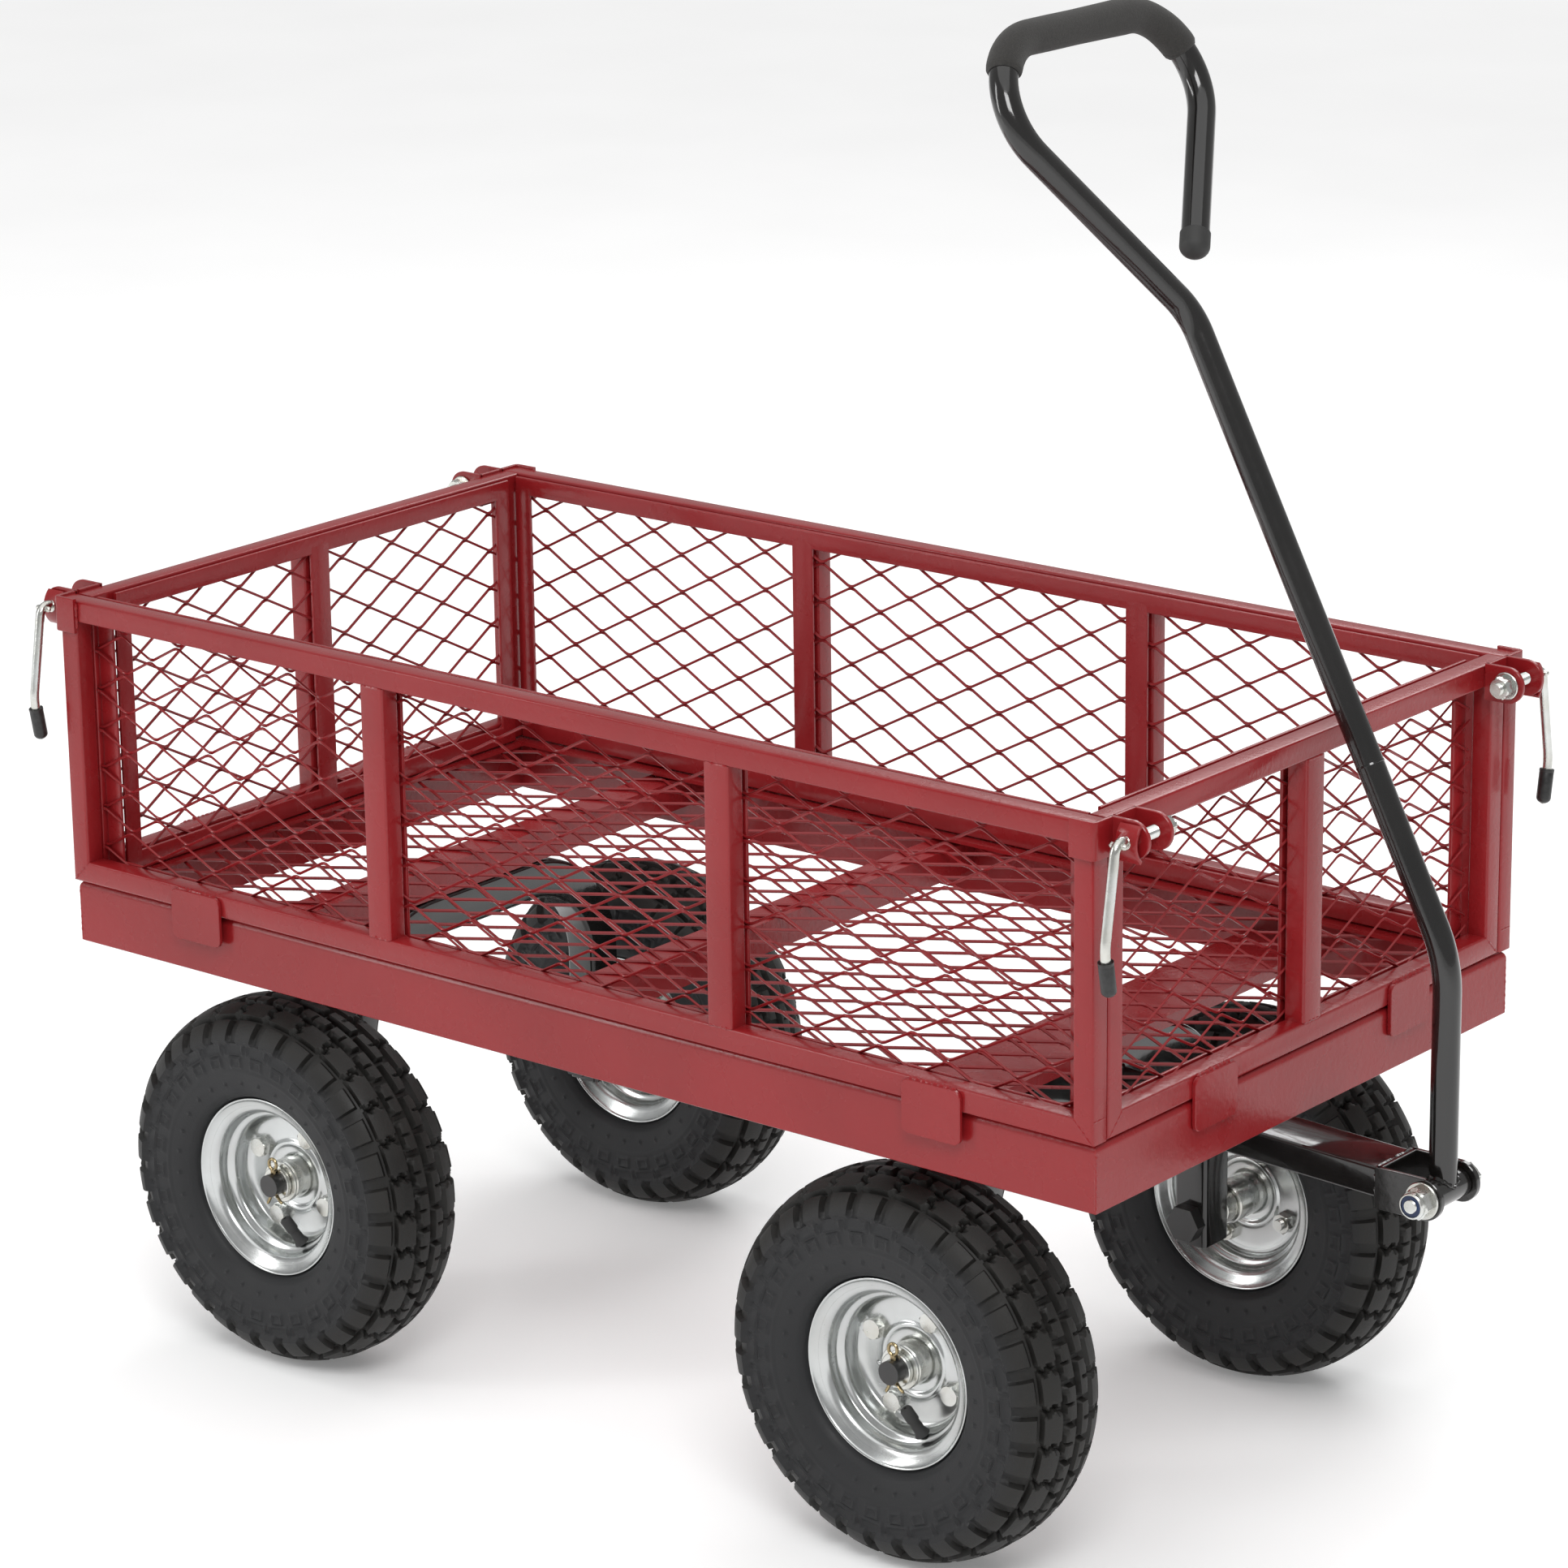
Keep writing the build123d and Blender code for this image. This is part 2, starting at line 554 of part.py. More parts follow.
# A round-ended rubber cap closes the loop's free end.
with BuildPart() as handle_end_cap:
    tube_end = upper_wire @ 1
    end_way = upper_wire % 1
    with BuildSketch(Plane(origin=tube_end, z_dir=end_way)):
        Circle(HANDLE_RADIUS)
    extrude(amount=CAP_LENGTH)
    fillet(handle_end_cap.faces().sort_by(Axis(tube_end, end_way))[-1].edges(), CAP_ROUND)
save(handle_end_cap.part, "handle_end_cap")


# ============================================================ wheels
def both_ways(half):
    """Return a closed profile: the half given, then its mirror image in reverse."""
    return half + [(-out, radius) for out, radius in reversed(half)]


def turned_piece(profile, wheel_x, wheel_y, side):
    """Turn a closed profile of (outward, radius) points about a wheel's axle line."""
    points = [(wheel_y + side * out, TYRE_RADIUS + radius) for out, radius in profile]
    with BuildPart() as piece:
        with BuildSketch(Plane.YZ.offset(wheel_x)):
            with BuildLine():
                Polyline(*points, close=True)
            make_face()
        revolve(axis=Axis((wheel_x, 0, TYRE_RADIUS), (0, 1, 0)))
    return piece.part


# The tyre bulges over the rim's flanges, and its beads sit between them.
bead_out = RIM_HALF_WIDTH - RIM_WALL - BEAD_GAP
bead_radius = RIM_SEAT_RADIUS + BEAD_GAP
belly_radius = (RIM_RADIUS + TYRE_RADIUS) / 2
tyre_profile = both_ways(
    [
        (bead_out - TYRE_WALL, bead_radius),
        (bead_out, bead_radius),
        (bead_out, RIM_RADIUS + 1),
        (0.85 * TYRE_HALF_WIDTH, RIM_RADIUS + 8),
        (TYRE_HALF_WIDTH, belly_radius),
        (0.96 * TYRE_HALF_WIDTH, 0.87 * TYRE_RADIUS),
        (0.75 * TYRE_HALF_WIDTH, 0.96 * TYRE_RADIUS),
        (TREAD_HALF_WIDTH, TYRE_RADIUS),
    ]
)
cavity_profile = both_ways(
    [
        (bead_out - TYRE_WALL, 0.9 * bead_radius),
        (bead_out - TYRE_WALL, RIM_RADIUS),
        (TYRE_HALF_WIDTH - TYRE_WALL, belly_radius),
        (0.72 * TYRE_HALF_WIDTH, 0.86 * TYRE_RADIUS),
        (TREAD_HALF_WIDTH - TYRE_WALL, TYRE_RADIUS - TREAD_WALL),
    ]
)
# One pressed shell: flange, seat, step and well on either side of the disc.
rim_profile = both_ways(
    [
        (RIM_WELL_HALF, RIM_WELL_RADIUS),
        (RIM_STEP_HALF, RIM_SEAT_RADIUS),
        (RIM_HALF_WIDTH - RIM_WALL, RIM_SEAT_RADIUS),
        (RIM_HALF_WIDTH - RIM_WALL, RIM_RADIUS),
        (RIM_HALF_WIDTH, RIM_RADIUS),
        (RIM_HALF_WIDTH, RIM_SEAT_RADIUS - RIM_WALL),
        (RIM_STEP_HALF, RIM_SEAT_RADIUS - RIM_WALL),
        (RIM_WELL_HALF, RIM_WELL_RADIUS - RIM_WALL),
    ][::-1]
)


def bolt_length(wheel, start, length, radius, corners=0):
    """Add one length of each rim bolt, measured outwards from the wheel's middle."""
    wheel_x, wheel_y, side = wheel
    with BuildSketch(Plane.XZ.offset(-(wheel_y + side * start))) as section:
        with Locations((wheel_x, TYRE_RADIUS)):
            with PolarLocations(RIM_BOLT_CIRCLE, 4, start_angle=RIM_BOLT_PHASE):
                if corners:
                    RegularPolygon(radius, corners)
                else:
                    Circle(radius)
    extrude(section.sketch, amount=-side * length)


def make_wheel(name, wheel_x, side):
    """Build one wheel: tyre, pressed rim, hub tube, rim bolts and valve stem."""
    wheel_y = side * TRACK_HALF
    wheel = (wheel_x, wheel_y, side)

    with BuildPart() as tyre:
        add(turned_piece(tyre_profile, *wheel))
        add(turned_piece(cavity_profile, *wheel), mode=Mode.SUBTRACT)
    save(tyre.part, f"{name}_tyre")

    with BuildPart() as rim:
        add(turned_piece(rim_profile, *wheel))
        with BuildSketch(Plane.XZ.offset(-(wheel_y + side * DISC_INNER))):
            with Locations((wheel_x, TYRE_RADIUS)):
                Circle(RIM_WELL_RADIUS - RIM_WALL / 2)
                Circle(HUB_RADIUS, mode=Mode.SUBTRACT)
                with PolarLocations(RIM_BOLT_CIRCLE, 4, start_angle=RIM_BOLT_PHASE):
                    Circle(RIM_BOLT_RADIUS + BEAD_GAP, mode=Mode.SUBTRACT)
        extrude(amount=-side * (DISC_OUTER - DISC_INNER))
    save(rim.part, f"{name}_rim")

    with BuildPart() as hub:
        with BuildSketch(Plane.XZ.offset(-(wheel_y - side * HUB_HALF_INNER))):
            with Locations((wheel_x, TYRE_RADIUS)):
                Circle(HUB_RADIUS)
                Circle(AXLE_RADIUS + AXLE_CLEARANCE, mode=Mode.SUBTRACT)
        extrude(amount=-side * (HUB_HALF_INNER + HUB_HALF_OUTER))
    save(hub.part, f"{name}_hub")

    with BuildPart() as rim_bolts:
        tail = DISC_INNER - RIM_BOLT_NUT - RIM_BOLT_TAIL
        bolt_length(wheel, tail, DISC_OUTER - tail, RIM_BOLT_RADIUS)
        bolt_length(wheel, DISC_OUTER, RIM_BOLT_HEAD_HEIGHT, RIM_BOLT_HEAD, 6)
        bolt_length(wheel, DISC_INNER - RIM_BOLT_NUT, RIM_BOLT_NUT, RIM_BOLT_HEAD, 6)
    save(rim_bolts.part, f"{name}_rim_bolts")

    with BuildPart() as valve:
        angle = radians(VALVE_ANGLE)
        outwards = Vector(cos(angle), 0, sin(angle))
        foot = Vector(wheel_x, wheel_y + side * VALVE_OUT, TYRE_RADIUS) + outwards * VALVE_FOOT
        with BuildSketch(Plane(origin=foot, z_dir=-outwards)):
            Circle(VALVE_RADIUS)
        extrude(amount=VALVE_LENGTH)
    save(valve.part, f"{name}_valve")


for end_name, axle_x in (("rear", REAR_AXLE_X), ("front", FRONT_AXLE_X)):
    for side_name, side in (("right", -1), ("left", 1)):
        make_wheel(f"{end_name}_{side_name}", TRAY_X + axle_x, side)


# ============================================================ rack
def make_panel(plane, length, divider_places, name):
    """Build one rack panel: a welded frame of square bar, and the mesh inside it."""
    height = PANEL_TOP - PANEL_BOTTOM
    open_length = length - 2 * PANEL_BAR
    open_height = height - 2 * PANEL_BAR
    with BuildPart() as frame:
        with BuildSketch(plane):
            Rectangle(length, height)
            Rectangle(open_length, open_height, mode=Mode.SUBTRACT)
            with Locations(*[(place, 0) for place in divider_places]):
                Rectangle(DIVIDER_WIDTH, open_height)
        extrude(amount=PANEL_BAR)
    save(frame.part, f"{name}_frame")
    with BuildPart() as mesh:
        with BuildSketch(plane.offset(-MESH_SHEET)):
            Rectangle(open_length - PANEL_GAP, open_height + 2 * MESH_LAP)
            diamond_holes(PANEL_LONG_PITCH, PANEL_SHORT_PITCH, open_length, open_height)
        extrude(amount=MESH_SHEET)
    save(mesh.part, f"{name}_mesh")


panel_middle = (PANEL_TOP + PANEL_BOTTOM) / 2
end_panel_length = SIDE_PANEL_WIDTH - 2 * PANEL_BAR - 2 * PANEL_GAP
for side_name, side in (("right", -1), ("left", 1)):
    inner_face = (TRAY_X, side * (SIDE_Y - PANEL_BAR), panel_middle)
    side_plane = Plane(origin=inner_face, x_dir=(-side, 0, 0), z_dir=(0, side, 0))
    make_panel(side_plane, 2 * END_X, (-SIDE_DIVIDER_X, SIDE_DIVIDER_X), f"{side_name}_side")
for end_name, end in (("rear", -1), ("front", 1)):
    inner_face = (TRAY_X + end * (END_X - PANEL_BAR), 0, panel_middle)
    end_plane = Plane(origin=inner_face, x_dir=(0, end, 0), z_dir=(end, 0, 0))
    make_panel(end_plane, end_panel_length, (0,), f"{end_name}_end")

# Flat tabs with rounded corners hang outside the deck from every panel.
with BuildPart() as hanging_tabs:
    tab_middle = PANEL_BOTTOM + (TAB_RISE - TAB_DROP) / 2
    for side in (-1, 1):
        side_face = (TRAY_X, side * SIDE_Y, tab_middle)
        end_face = (TRAY_X + side * END_X, 0, tab_middle)
        side_plane = Plane(origin=side_face, x_dir=(-side, 0, 0), z_dir=(0, side, 0))
        end_plane = Plane(origin=end_face, x_dir=(0, side, 0), z_dir=(side, 0, 0))
        for plane, offset_along in ((side_plane, SIDE_TAB_X), (end_plane, END_TAB_Y)):
            with BuildSketch(plane):
                with GridLocations(2 * offset_along, 1, 2, 1):
                    RectangleRounded(TAB_WIDTH, TAB_DROP + TAB_RISE, TAB_CORNER)
            extrude(amount=TAB_SHEET)
save(hanging_tabs.part, "hanging_tabs")


# ============================================================ corner latches
def ear_blade(corner_x, end, ear_y):
    """Add a round-ended ear that stands out of the wagon's end, drilled for the bolt."""
    with BuildSketch(Plane.XZ.offset(-ear_y)) as blade:
        with Locations((corner_x + end * EAR_REACH / 2, CLAMP_BOLT_Z)):
            Rectangle(EAR_REACH, 2 * EAR_RADIUS)
        with Locations((corner_x + end * EAR_REACH, CLAMP_BOLT_Z)):
            Circle(EAR_RADIUS)
            Circle(CLAMP_HOLE_RADIUS, mode=Mode.SUBTRACT)
    extrude(blade.sketch, amount=EAR_SHEET / 2, both=True)


def ear_strip(corner_x, end, side, start, stop):
    """Add the flat strip that fixes an ear to the panel's end face."""
    with Locations((corner_x + end * EAR_SHEET / 2, side * (start + stop) / 2, CLAMP_BOLT_Z)):
        Box(EAR_SHEET, stop - start, 2 * EAR_RADIUS)


# Each corner has an ear on the side panel, which wraps its post, and one on the end panel.
with BuildPart() as corner_ears:
    for end, side in CORNERS:
        corner_x = TRAY_X + end * END_X
        side_root = SIDE_EAR_Y - EAR_SHEET / 2
        ear_blade(corner_x, end, side * SIDE_EAR_Y)
        ear_strip(corner_x, end, side, side_root, SIDE_Y + EAR_SHEET)
        with Locations((corner_x - end * EAR_WRAP / 2, side * (SIDE_Y + EAR_SHEET / 2), CLAMP_BOLT_Z)):
            Box(EAR_WRAP, EAR_SHEET, 2 * EAR_RADIUS)
        ear_blade(corner_x, end, side * END_EAR_Y)
        ear_strip(corner_x, end, side, END_EAR_Y - EAR_SHEET / 2, side_root - EAR_GAP)
save(corner_ears.part, "corner_ears")


def along_bolt(corner, start, stop, radius, corners=0, bore=0):
    """Add one length on a clamp bolt's line, measured out from the wagon's middle."""
    end, side = corner
    with BuildSketch(Plane.XZ.offset(-side * start)) as section:
        with Locations((TRAY_X + end * EAR_X, CLAMP_BOLT_Z)):
            if corners:
                RegularPolygon(radius, corners)
            else:
                Circle(radius)
            if bore:
                Circle(bore, mode=Mode.SUBTRACT)
    extrude(section.sketch, amount=-side * (stop - start))


# A bolt with its washer and lock nut crosses each pair of ears. It ends in the
# pin that the lever turns on.
with BuildPart() as clamp_bolts:
    inner_face = END_EAR_Y - EAR_SHEET / 2
    for corner in CORNERS:
        along_bolt(corner, CLAMP_BOLT_TAIL_Y, CAM_PIN_Y, CLAMP_BOLT_RADIUS)
        along_bolt(corner, inner_face - CLAMP_WASHER, inner_face, CLAMP_WASHER_RADIUS)
        along_bolt(
            corner, inner_face - CLAMP_WASHER - CLAMP_NUT, inner_face - CLAMP_WASHER, CLAMP_NUT_RADIUS, 6
        )
        pin_middle = (TRAY_X + corner[0] * EAR_X, corner[1] * CAM_PIN_Y, CLAMP_BOLT_Z)
        with Locations(Location(pin_middle, (0, 90, 0))):
            Cylinder(CAM_PIN_RADIUS, CAM_WIDTH)
save(clamp_bolts.part, "clamp_bolts")

with BuildPart() as clamp_saddles:
    outer_face = SIDE_EAR_Y + EAR_SHEET / 2
    saddle_end = CAM_PIN_Y - CAM_RADIUS - CAM_GAP
    for corner in CORNERS:
        along_bolt(corner, outer_face, saddle_end, SADDLE_RADIUS, bore=CLAMP_HOLE_RADIUS)
save(clamp_saddles.part, "clamp_saddles")


def make_lever(name, end, side):
    """Build one cam lever: a forked head on the pin, a bowed rod and its vinyl tip."""
    lever_x = TRAY_X + end * EAR_X
    pin_middle = (lever_x, side * CAM_PIN_Y, CLAMP_BOLT_Z)
    bridge_z = CLAMP_BOLT_Z - CAM_RADIUS - FORK_BRIDGE / 4
    with BuildPart() as lever:
        with BuildLine(Plane.YZ.offset(lever_x)) as rod_path:
            FilletPolyline(
                (side * CAM_PIN_Y, bridge_z),
                (side * (CAM_PIN_Y + LEVER_BOW), CLAMP_BOLT_Z - LEVER_BOW_DROP),
                (side * (CAM_PIN_Y + LEVER_TAIL), CLAMP_BOLT_Z - LEVER_DROP - TIP_CLOSED),
                radius=LEVER_BEND,
            )
        rod_wire = rod_path.wire()
        with Locations(Location(pin_middle, (0, 90, 0))):
            Cylinder(CAM_RADIUS, CAM_WIDTH)
            Cylinder(CAM_RADIUS + 1, FORK_GAP, mode=Mode.SUBTRACT)
            Cylinder(CAM_PIN_RADIUS + AXLE_CLEARANCE, CAM_WIDTH, mode=Mode.SUBTRACT)
        with Locations((lever_x, side * CAM_PIN_Y, bridge_z)):
            Box(CAM_WIDTH, 2 * FORK_BRIDGE, FORK_BRIDGE)
        with BuildSketch(Plane(origin=rod_wire @ 0, z_dir=rod_wire % 0)):
            Circle(LEVER_RADIUS)
        sweep(path=rod_wire)
    save(lever.part, f"{name}_lever")
    with BuildPart() as tip:
        end_way = rod_wire % 1
        root = rod_wire @ 1 - end_way * (TIP_LENGTH - TIP_CLOSED)
        with BuildSketch(Plane(origin=root, z_dir=end_way)):
            Circle(TIP_RADIUS)
        extrude(amount=TIP_LENGTH)
        fillet(tip.faces().sort_by(Axis(root, end_way))[-1].edges(), TIP_ROUND)
        with BuildSketch(Plane(origin=root, z_dir=end_way)):
            Circle(LEVER_RADIUS + GRIP_FIT)
        extrude(amount=TIP_LENGTH - TIP_CLOSED, mode=Mode.SUBTRACT)
    save(tip.part, f"{name}_lever_tip")


for end_name, end in (("rear", -1), ("front", 1)):
    for side_name, side in (("right", -1), ("left", 1)):
        make_lever(f"{end_name}_{side_name}", end, side)
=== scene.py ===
from math import atan2, cos, pi, radians, sin, tan

import bmesh
import bpy
import numpy as np
from mathutils import Matrix, Vector


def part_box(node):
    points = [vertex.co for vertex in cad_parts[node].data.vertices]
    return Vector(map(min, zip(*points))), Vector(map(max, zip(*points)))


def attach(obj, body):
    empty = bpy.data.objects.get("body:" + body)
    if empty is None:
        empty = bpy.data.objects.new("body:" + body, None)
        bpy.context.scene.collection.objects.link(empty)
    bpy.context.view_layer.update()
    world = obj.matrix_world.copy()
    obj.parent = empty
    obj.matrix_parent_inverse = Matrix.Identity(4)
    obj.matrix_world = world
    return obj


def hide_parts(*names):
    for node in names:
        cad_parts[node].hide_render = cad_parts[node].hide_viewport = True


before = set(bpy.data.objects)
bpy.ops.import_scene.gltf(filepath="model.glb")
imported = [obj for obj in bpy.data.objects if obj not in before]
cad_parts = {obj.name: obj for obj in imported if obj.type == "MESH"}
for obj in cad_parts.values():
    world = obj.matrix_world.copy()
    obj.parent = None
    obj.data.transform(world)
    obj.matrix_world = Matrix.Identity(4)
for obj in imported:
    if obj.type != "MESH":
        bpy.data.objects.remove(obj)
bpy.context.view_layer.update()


# ---------------------------------------------------------------- deck rim
# The rim is one bent steel sheet with a rounded top bend, an inward flange and
# welded, ground corners. It is powder coated deep red with a faint orange peel.
MM = 0.001
AHEAD, LEFT, UP = np.eye(3)


def unit(vectors):
    """Each vector divided by its own length."""
    vectors = np.asarray(vectors, float)
    return vectors / np.linalg.norm(vectors, axis=-1, keepdims=True)


def node_corners(node):
    """The lowest and the highest corner of a CAD node's box."""
    return [np.array(corner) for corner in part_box(node)]


def skin(grid, wrap_along=False, wrap_around=True, ends=True):
    """Points and faces of a grid (along, around, 3): each face joins four neighbours."""
    along, around = grid.shape[:2]
    i = np.arange(along if wrap_along else along - 1)[:, None]
    j = np.arange(around if wrap_around else around - 1)[None, :]
    i2 = (i + 1) % along
    j2 = (j + 1) % around
    quads = np.stack([i * around + j, i2 * around + j, i2 * around + j2, i * around + j2], -1).reshape(-1, 4)
    caps = []
    if ends and not wrap_along:
        caps = [list(range(around))[::-1], list(range((along - 1) * around, along * around))]
    return grid.reshape(-1, 3), quads.tolist() + caps


def carry(path, section, normal, closed=False):
    """Carry a section (outward, along normal) over a flat path, mitred where the path turns."""
    path = np.asarray(path, float)
    normal = np.asarray(normal, float)
    if closed:
        ahead = np.roll(path, -1, 0) - path
        behind = np.roll(ahead, 1, 0)
    else:
        step = np.diff(path, axis=0)
        ahead = np.vstack([step, step[-1:]])
        behind = np.vstack([step[:1], step])
    ahead = unit(ahead)
    behind = unit(behind)
    middle = unit(ahead + behind)
    stretch = 1 / np.sum(middle * ahead, axis=1)
    outward = np.cross(middle, normal) * stretch[:, None]
    section = np.asarray(section, float)
    grid = path[:, None] + section[None, :, :1] * outward[:, None] + section[None, :, 1:] * normal
    return skin(grid, wrap_along=closed)


def bar_section(width, height, radius, steps=3):
    """A rectangle centred on the path with its four corners rounded by quarter arcs."""
    turn = np.linspace(0, pi / 2, steps + 1)
    corners = [(1, 1, 0), (-1, 1, pi / 2), (-1, -1, pi), (1, -1, 3 * pi / 2)]
    parts = [
        np.stack([
            sx * (width / 2 - radius) + radius * np.cos(turn + start),
            sy * (height / 2 - radius) + radius * np.sin(turn + start),
        ], -1)
        for sx, sy, start in corners
    ]
    return np.vstack(parts)


def rectangle_path(half_a, half_b, centre, axis_a, axis_b):
    """The four corners of a rectangle, turning from axis a towards axis b."""
    signs = np.array([(-1, -1), (1, -1), (1, 1), (-1, 1)], float)
    return np.asarray(centre) + signs[:, :1] * half_a * axis_a + signs[:, 1:] * half_b * axis_b


def bead(points, radius, seed):
    """A weld bead: a rough half-sunk tube whose radius ripples along its run."""
    points = np.asarray(points, float)
    run = np.concatenate([[0], np.cumsum(np.linalg.norm(np.diff(points, axis=0), axis=1))])
    count = max(6, int(run[-1] / (1.1 * MM)))
    at = np.linspace(0, run[-1], count)
    line = np.stack([np.interp(at, run, points[:, k]) for k in range(3)], -1)
    rng = np.random.default_rng(seed)
    ripple = 0.82 + 0.16 * np.sin(at / (0.75 * MM)) + 0.12 * rng.standard_normal(count)
    taper = np.clip(np.minimum(np.arange(count), np.arange(count)[::-1]) / 2.0 + 0.35, 0, 1)
    size = radius * ripple * taper
    way = unit(np.gradient(line, axis=0))
    helper = np.where(np.abs(way[:, 2:]) > 0.8, AHEAD, UP)
    side = unit(np.cross(way, helper))
    top = np.cross(side, way)
    turn = np.linspace(0, 2 * pi, 9)[:-1]
    ring = np.cos(turn)[None, :, None] * side[:, None] + np.sin(turn)[None, :, None] * top[:, None]
    return skin(line[:, None] + size[:, None, None] * ring)


def piece(name, shells, material, body, replaces=(), sharp=34):
    """Join shells into one mesh object, face it outwards, smooth it and hang it on its body."""
    points = np.vstack([points for points, faces in shells])
    faces = []
    offset = 0
    for shell_points, shell_faces in shells:
        faces += [[k + offset for k in face] for face in shell_faces]
        offset += len(shell_points)
    mesh = bpy.data.meshes.new(name)
    mesh.from_pydata(points.tolist(), [], faces)
    work = bmesh.new()
    work.from_mesh(mesh)
    bmesh.ops.recalc_face_normals(work, faces=work.faces)
    work.to_mesh(mesh)
    work.free()
    mesh.polygons.foreach_set("use_smooth", np.ones(len(mesh.polygons), bool))
    mesh.set_sharp_from_angle(angle=radians(sharp))
    mesh.materials.append(material)
    made = bpy.data.objects.new(name, mesh)
    bpy.context.scene.collection.objects.link(made)
    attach(made, body)
    if replaces:
        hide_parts(*replaces)
    return made


def repaint(node, material):
    """Give a CAD node that keeps its own shape its finished material."""
    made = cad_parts[node]
    made.data.materials.clear()
    made.data.materials.append(material)


def new_material(name):
    """A material with its Principled shader and helpers to add and link nodes."""
    material = bpy.data.materials.new(name)
    material.use_nodes = True
    nodes = material.node_tree.nodes
    links = material.node_tree.links
    shader = nodes["Principled BSDF"]
    place = nodes.new("ShaderNodeTexCoord")
    return material, nodes, links, shader, place


def noise(nodes, links, place, scale, detail=3.0, roughness=0.5):
    """A noise pattern on Object coordinates; scale is repeats per metre."""
    made = nodes.new("ShaderNodeTexNoise")
    made.inputs["Scale"].default_value = scale
    made.inputs["Detail"].default_value = detail
    made.inputs["Roughness"].default_value = roughness
    links.new(place.outputs["Object"], made.inputs["Vector"])
    return made


def ramp(nodes, links, source, stops):
    """A colour ramp fed by a pattern; stops are (place, colour)."""
    made = nodes.new("ShaderNodeValToRGB")
    bar = made.color_ramp
    bar.elements[0].position, bar.elements[0].color = stops[0][0], (*stops[0][1], 1)
    bar.elements[1].position, bar.elements[1].color = stops[-1][0], (*stops[-1][1], 1)
    for at, colour in stops[1:-1]:
        bar.elements.new(at).color = (*colour, 1)
    links.new(source, made.inputs["Fac"])
    return made


def tint(nodes, links, shader, pattern, stops):
    """Colour the surface by a pattern through a ramp."""
    colour = ramp(nodes, links, pattern.outputs["Fac"], stops)
    links.new(colour.outputs["Color"], shader.inputs["Base Color"])


def roughen(nodes, links, shader, pattern, low, high):
    """Vary the roughness from low to high over a pattern's middle range."""
    made = nodes.new("ShaderNodeMapRange")
    made.inputs["From Min"].default_value = 0.3
    made.inputs["From Max"].default_value = 0.7
    made.inputs["To Min"].default_value = low
    made.inputs["To Max"].default_value = high
    links.new(pattern.outputs["Fac"], made.inputs["Value"])
    links.new(made.outputs["Result"], shader.inputs["Roughness"])


def bump(nodes, links, shader, height, distance, strength=0.5):
    """Roughen the surface by a pattern's height in metres."""
    made = nodes.new("ShaderNodeBump")
    made.inputs["Distance"].default_value = distance
    made.inputs["Strength"].default_value = strength
    links.new(height, made.inputs["Height"])
    links.new(made.outputs["Normal"], shader.inputs["Normal"])


def powder_coat(name, light, dark, scuff, peel=0.0005, gloss=(0.20, 0.34)):
    """Baked powder coat: slow colour drift, orange peel, and small dull chips and scuffs."""
    material, nodes, links, shader, place = new_material(name)
    drift = noise(nodes, links, place, 9, 4)
    colour = ramp(nodes, links, drift.outputs["Fac"], [(0.3, dark), (0.7, light)])
    chips = noise(nodes, links, place, 46, 8, 0.72)
    mask = ramp(nodes, links, chips.outputs["Fac"], [(0.70, (0, 0, 0)), (0.735, (1, 1, 1))])
    mix = nodes.new("ShaderNodeMix")
    mix.data_type = "RGBA"
    links.new(mask.outputs["Color"], mix.inputs["Factor"])
    links.new(colour.outputs["Color"], mix.inputs["A"])
    mix.inputs["B"].default_value = (*scuff, 1)
    links.new(mix.outputs["Result"], shader.inputs["Base Color"])
    roughen(nodes, links, shader, noise(nodes, links, place, 30, 5), *gloss)
    shader.inputs["Specular IOR Level"].default_value = 0.34
    shader.inputs["Coat Weight"].default_value = 0.16
    shader.inputs["Coat Roughness"].default_value = 0.10
    orange_peel = noise(nodes, links, place, 230, 3, 0.6)
    bump(nodes, links, shader, orange_peel.outputs["Fac"], peel, 0.5)
    return material


RED = powder_coat("red_powder_coat", (0.270, 0.012, 0.015), (0.225, 0.009, 0.011), (0.13, 0.02, 0.02))

deck_low, deck_high = node_corners("deck_frame")
deck_middle = (deck_low + deck_high) / 2
deck_half = (deck_high - deck_low) / 2
RIM_SHEET = 2.5 * MM
RIM_BEND = 6 * MM
RIM_FLANGE = 25 * MM
rim_height = deck_high[2] - deck_low[2]


def rim_section():
    """The rim's L: up the outside, round the bend, in along the flange and back inside."""
    turn = np.linspace(0, pi / 2, 7)
    outer = np.stack([RIM_BEND * (np.cos(turn) - 1), rim_height - RIM_BEND * (1 - np.sin(turn))], -1)
    inner_bend = RIM_BEND - RIM_SHEET
    inner = np.stack(
        [inner_bend * np.cos(turn) - RIM_BEND, rim_height - RIM_BEND + inner_bend * np.sin(turn)], -1
    )
    lip = 0.5 * MM
    start = [(-lip, 0), (0, lip)]
    tip = [(-RIM_FLANGE, rim_height), (-RIM_FLANGE, rim_height - RIM_SHEET)]
    return np.vstack([start, outer, tip, inner[::-1], [(-RIM_SHEET, 0)]])


rim_path = rectangle_path(
    deck_half[0], deck_half[1], deck_middle * [1, 1, 0] + deck_low * [0, 0, 1], AHEAD, LEFT
)
shells = [carry(rim_path, rim_section(), UP, closed=True)]
for k, corner in enumerate(rim_path):
    inset = np.sign(corner - deck_middle) * [1, 1, 0] * 0.6 * MM
    seam = np.array([corner - inset + UP * 2 * MM, corner - inset + UP * (rim_height - 6 * MM)])
    shells.append(bead(seam, 1.1 * MM, 10 + k))
piece("deck_rim", shells, RED, "chassis", ["deck_frame"])


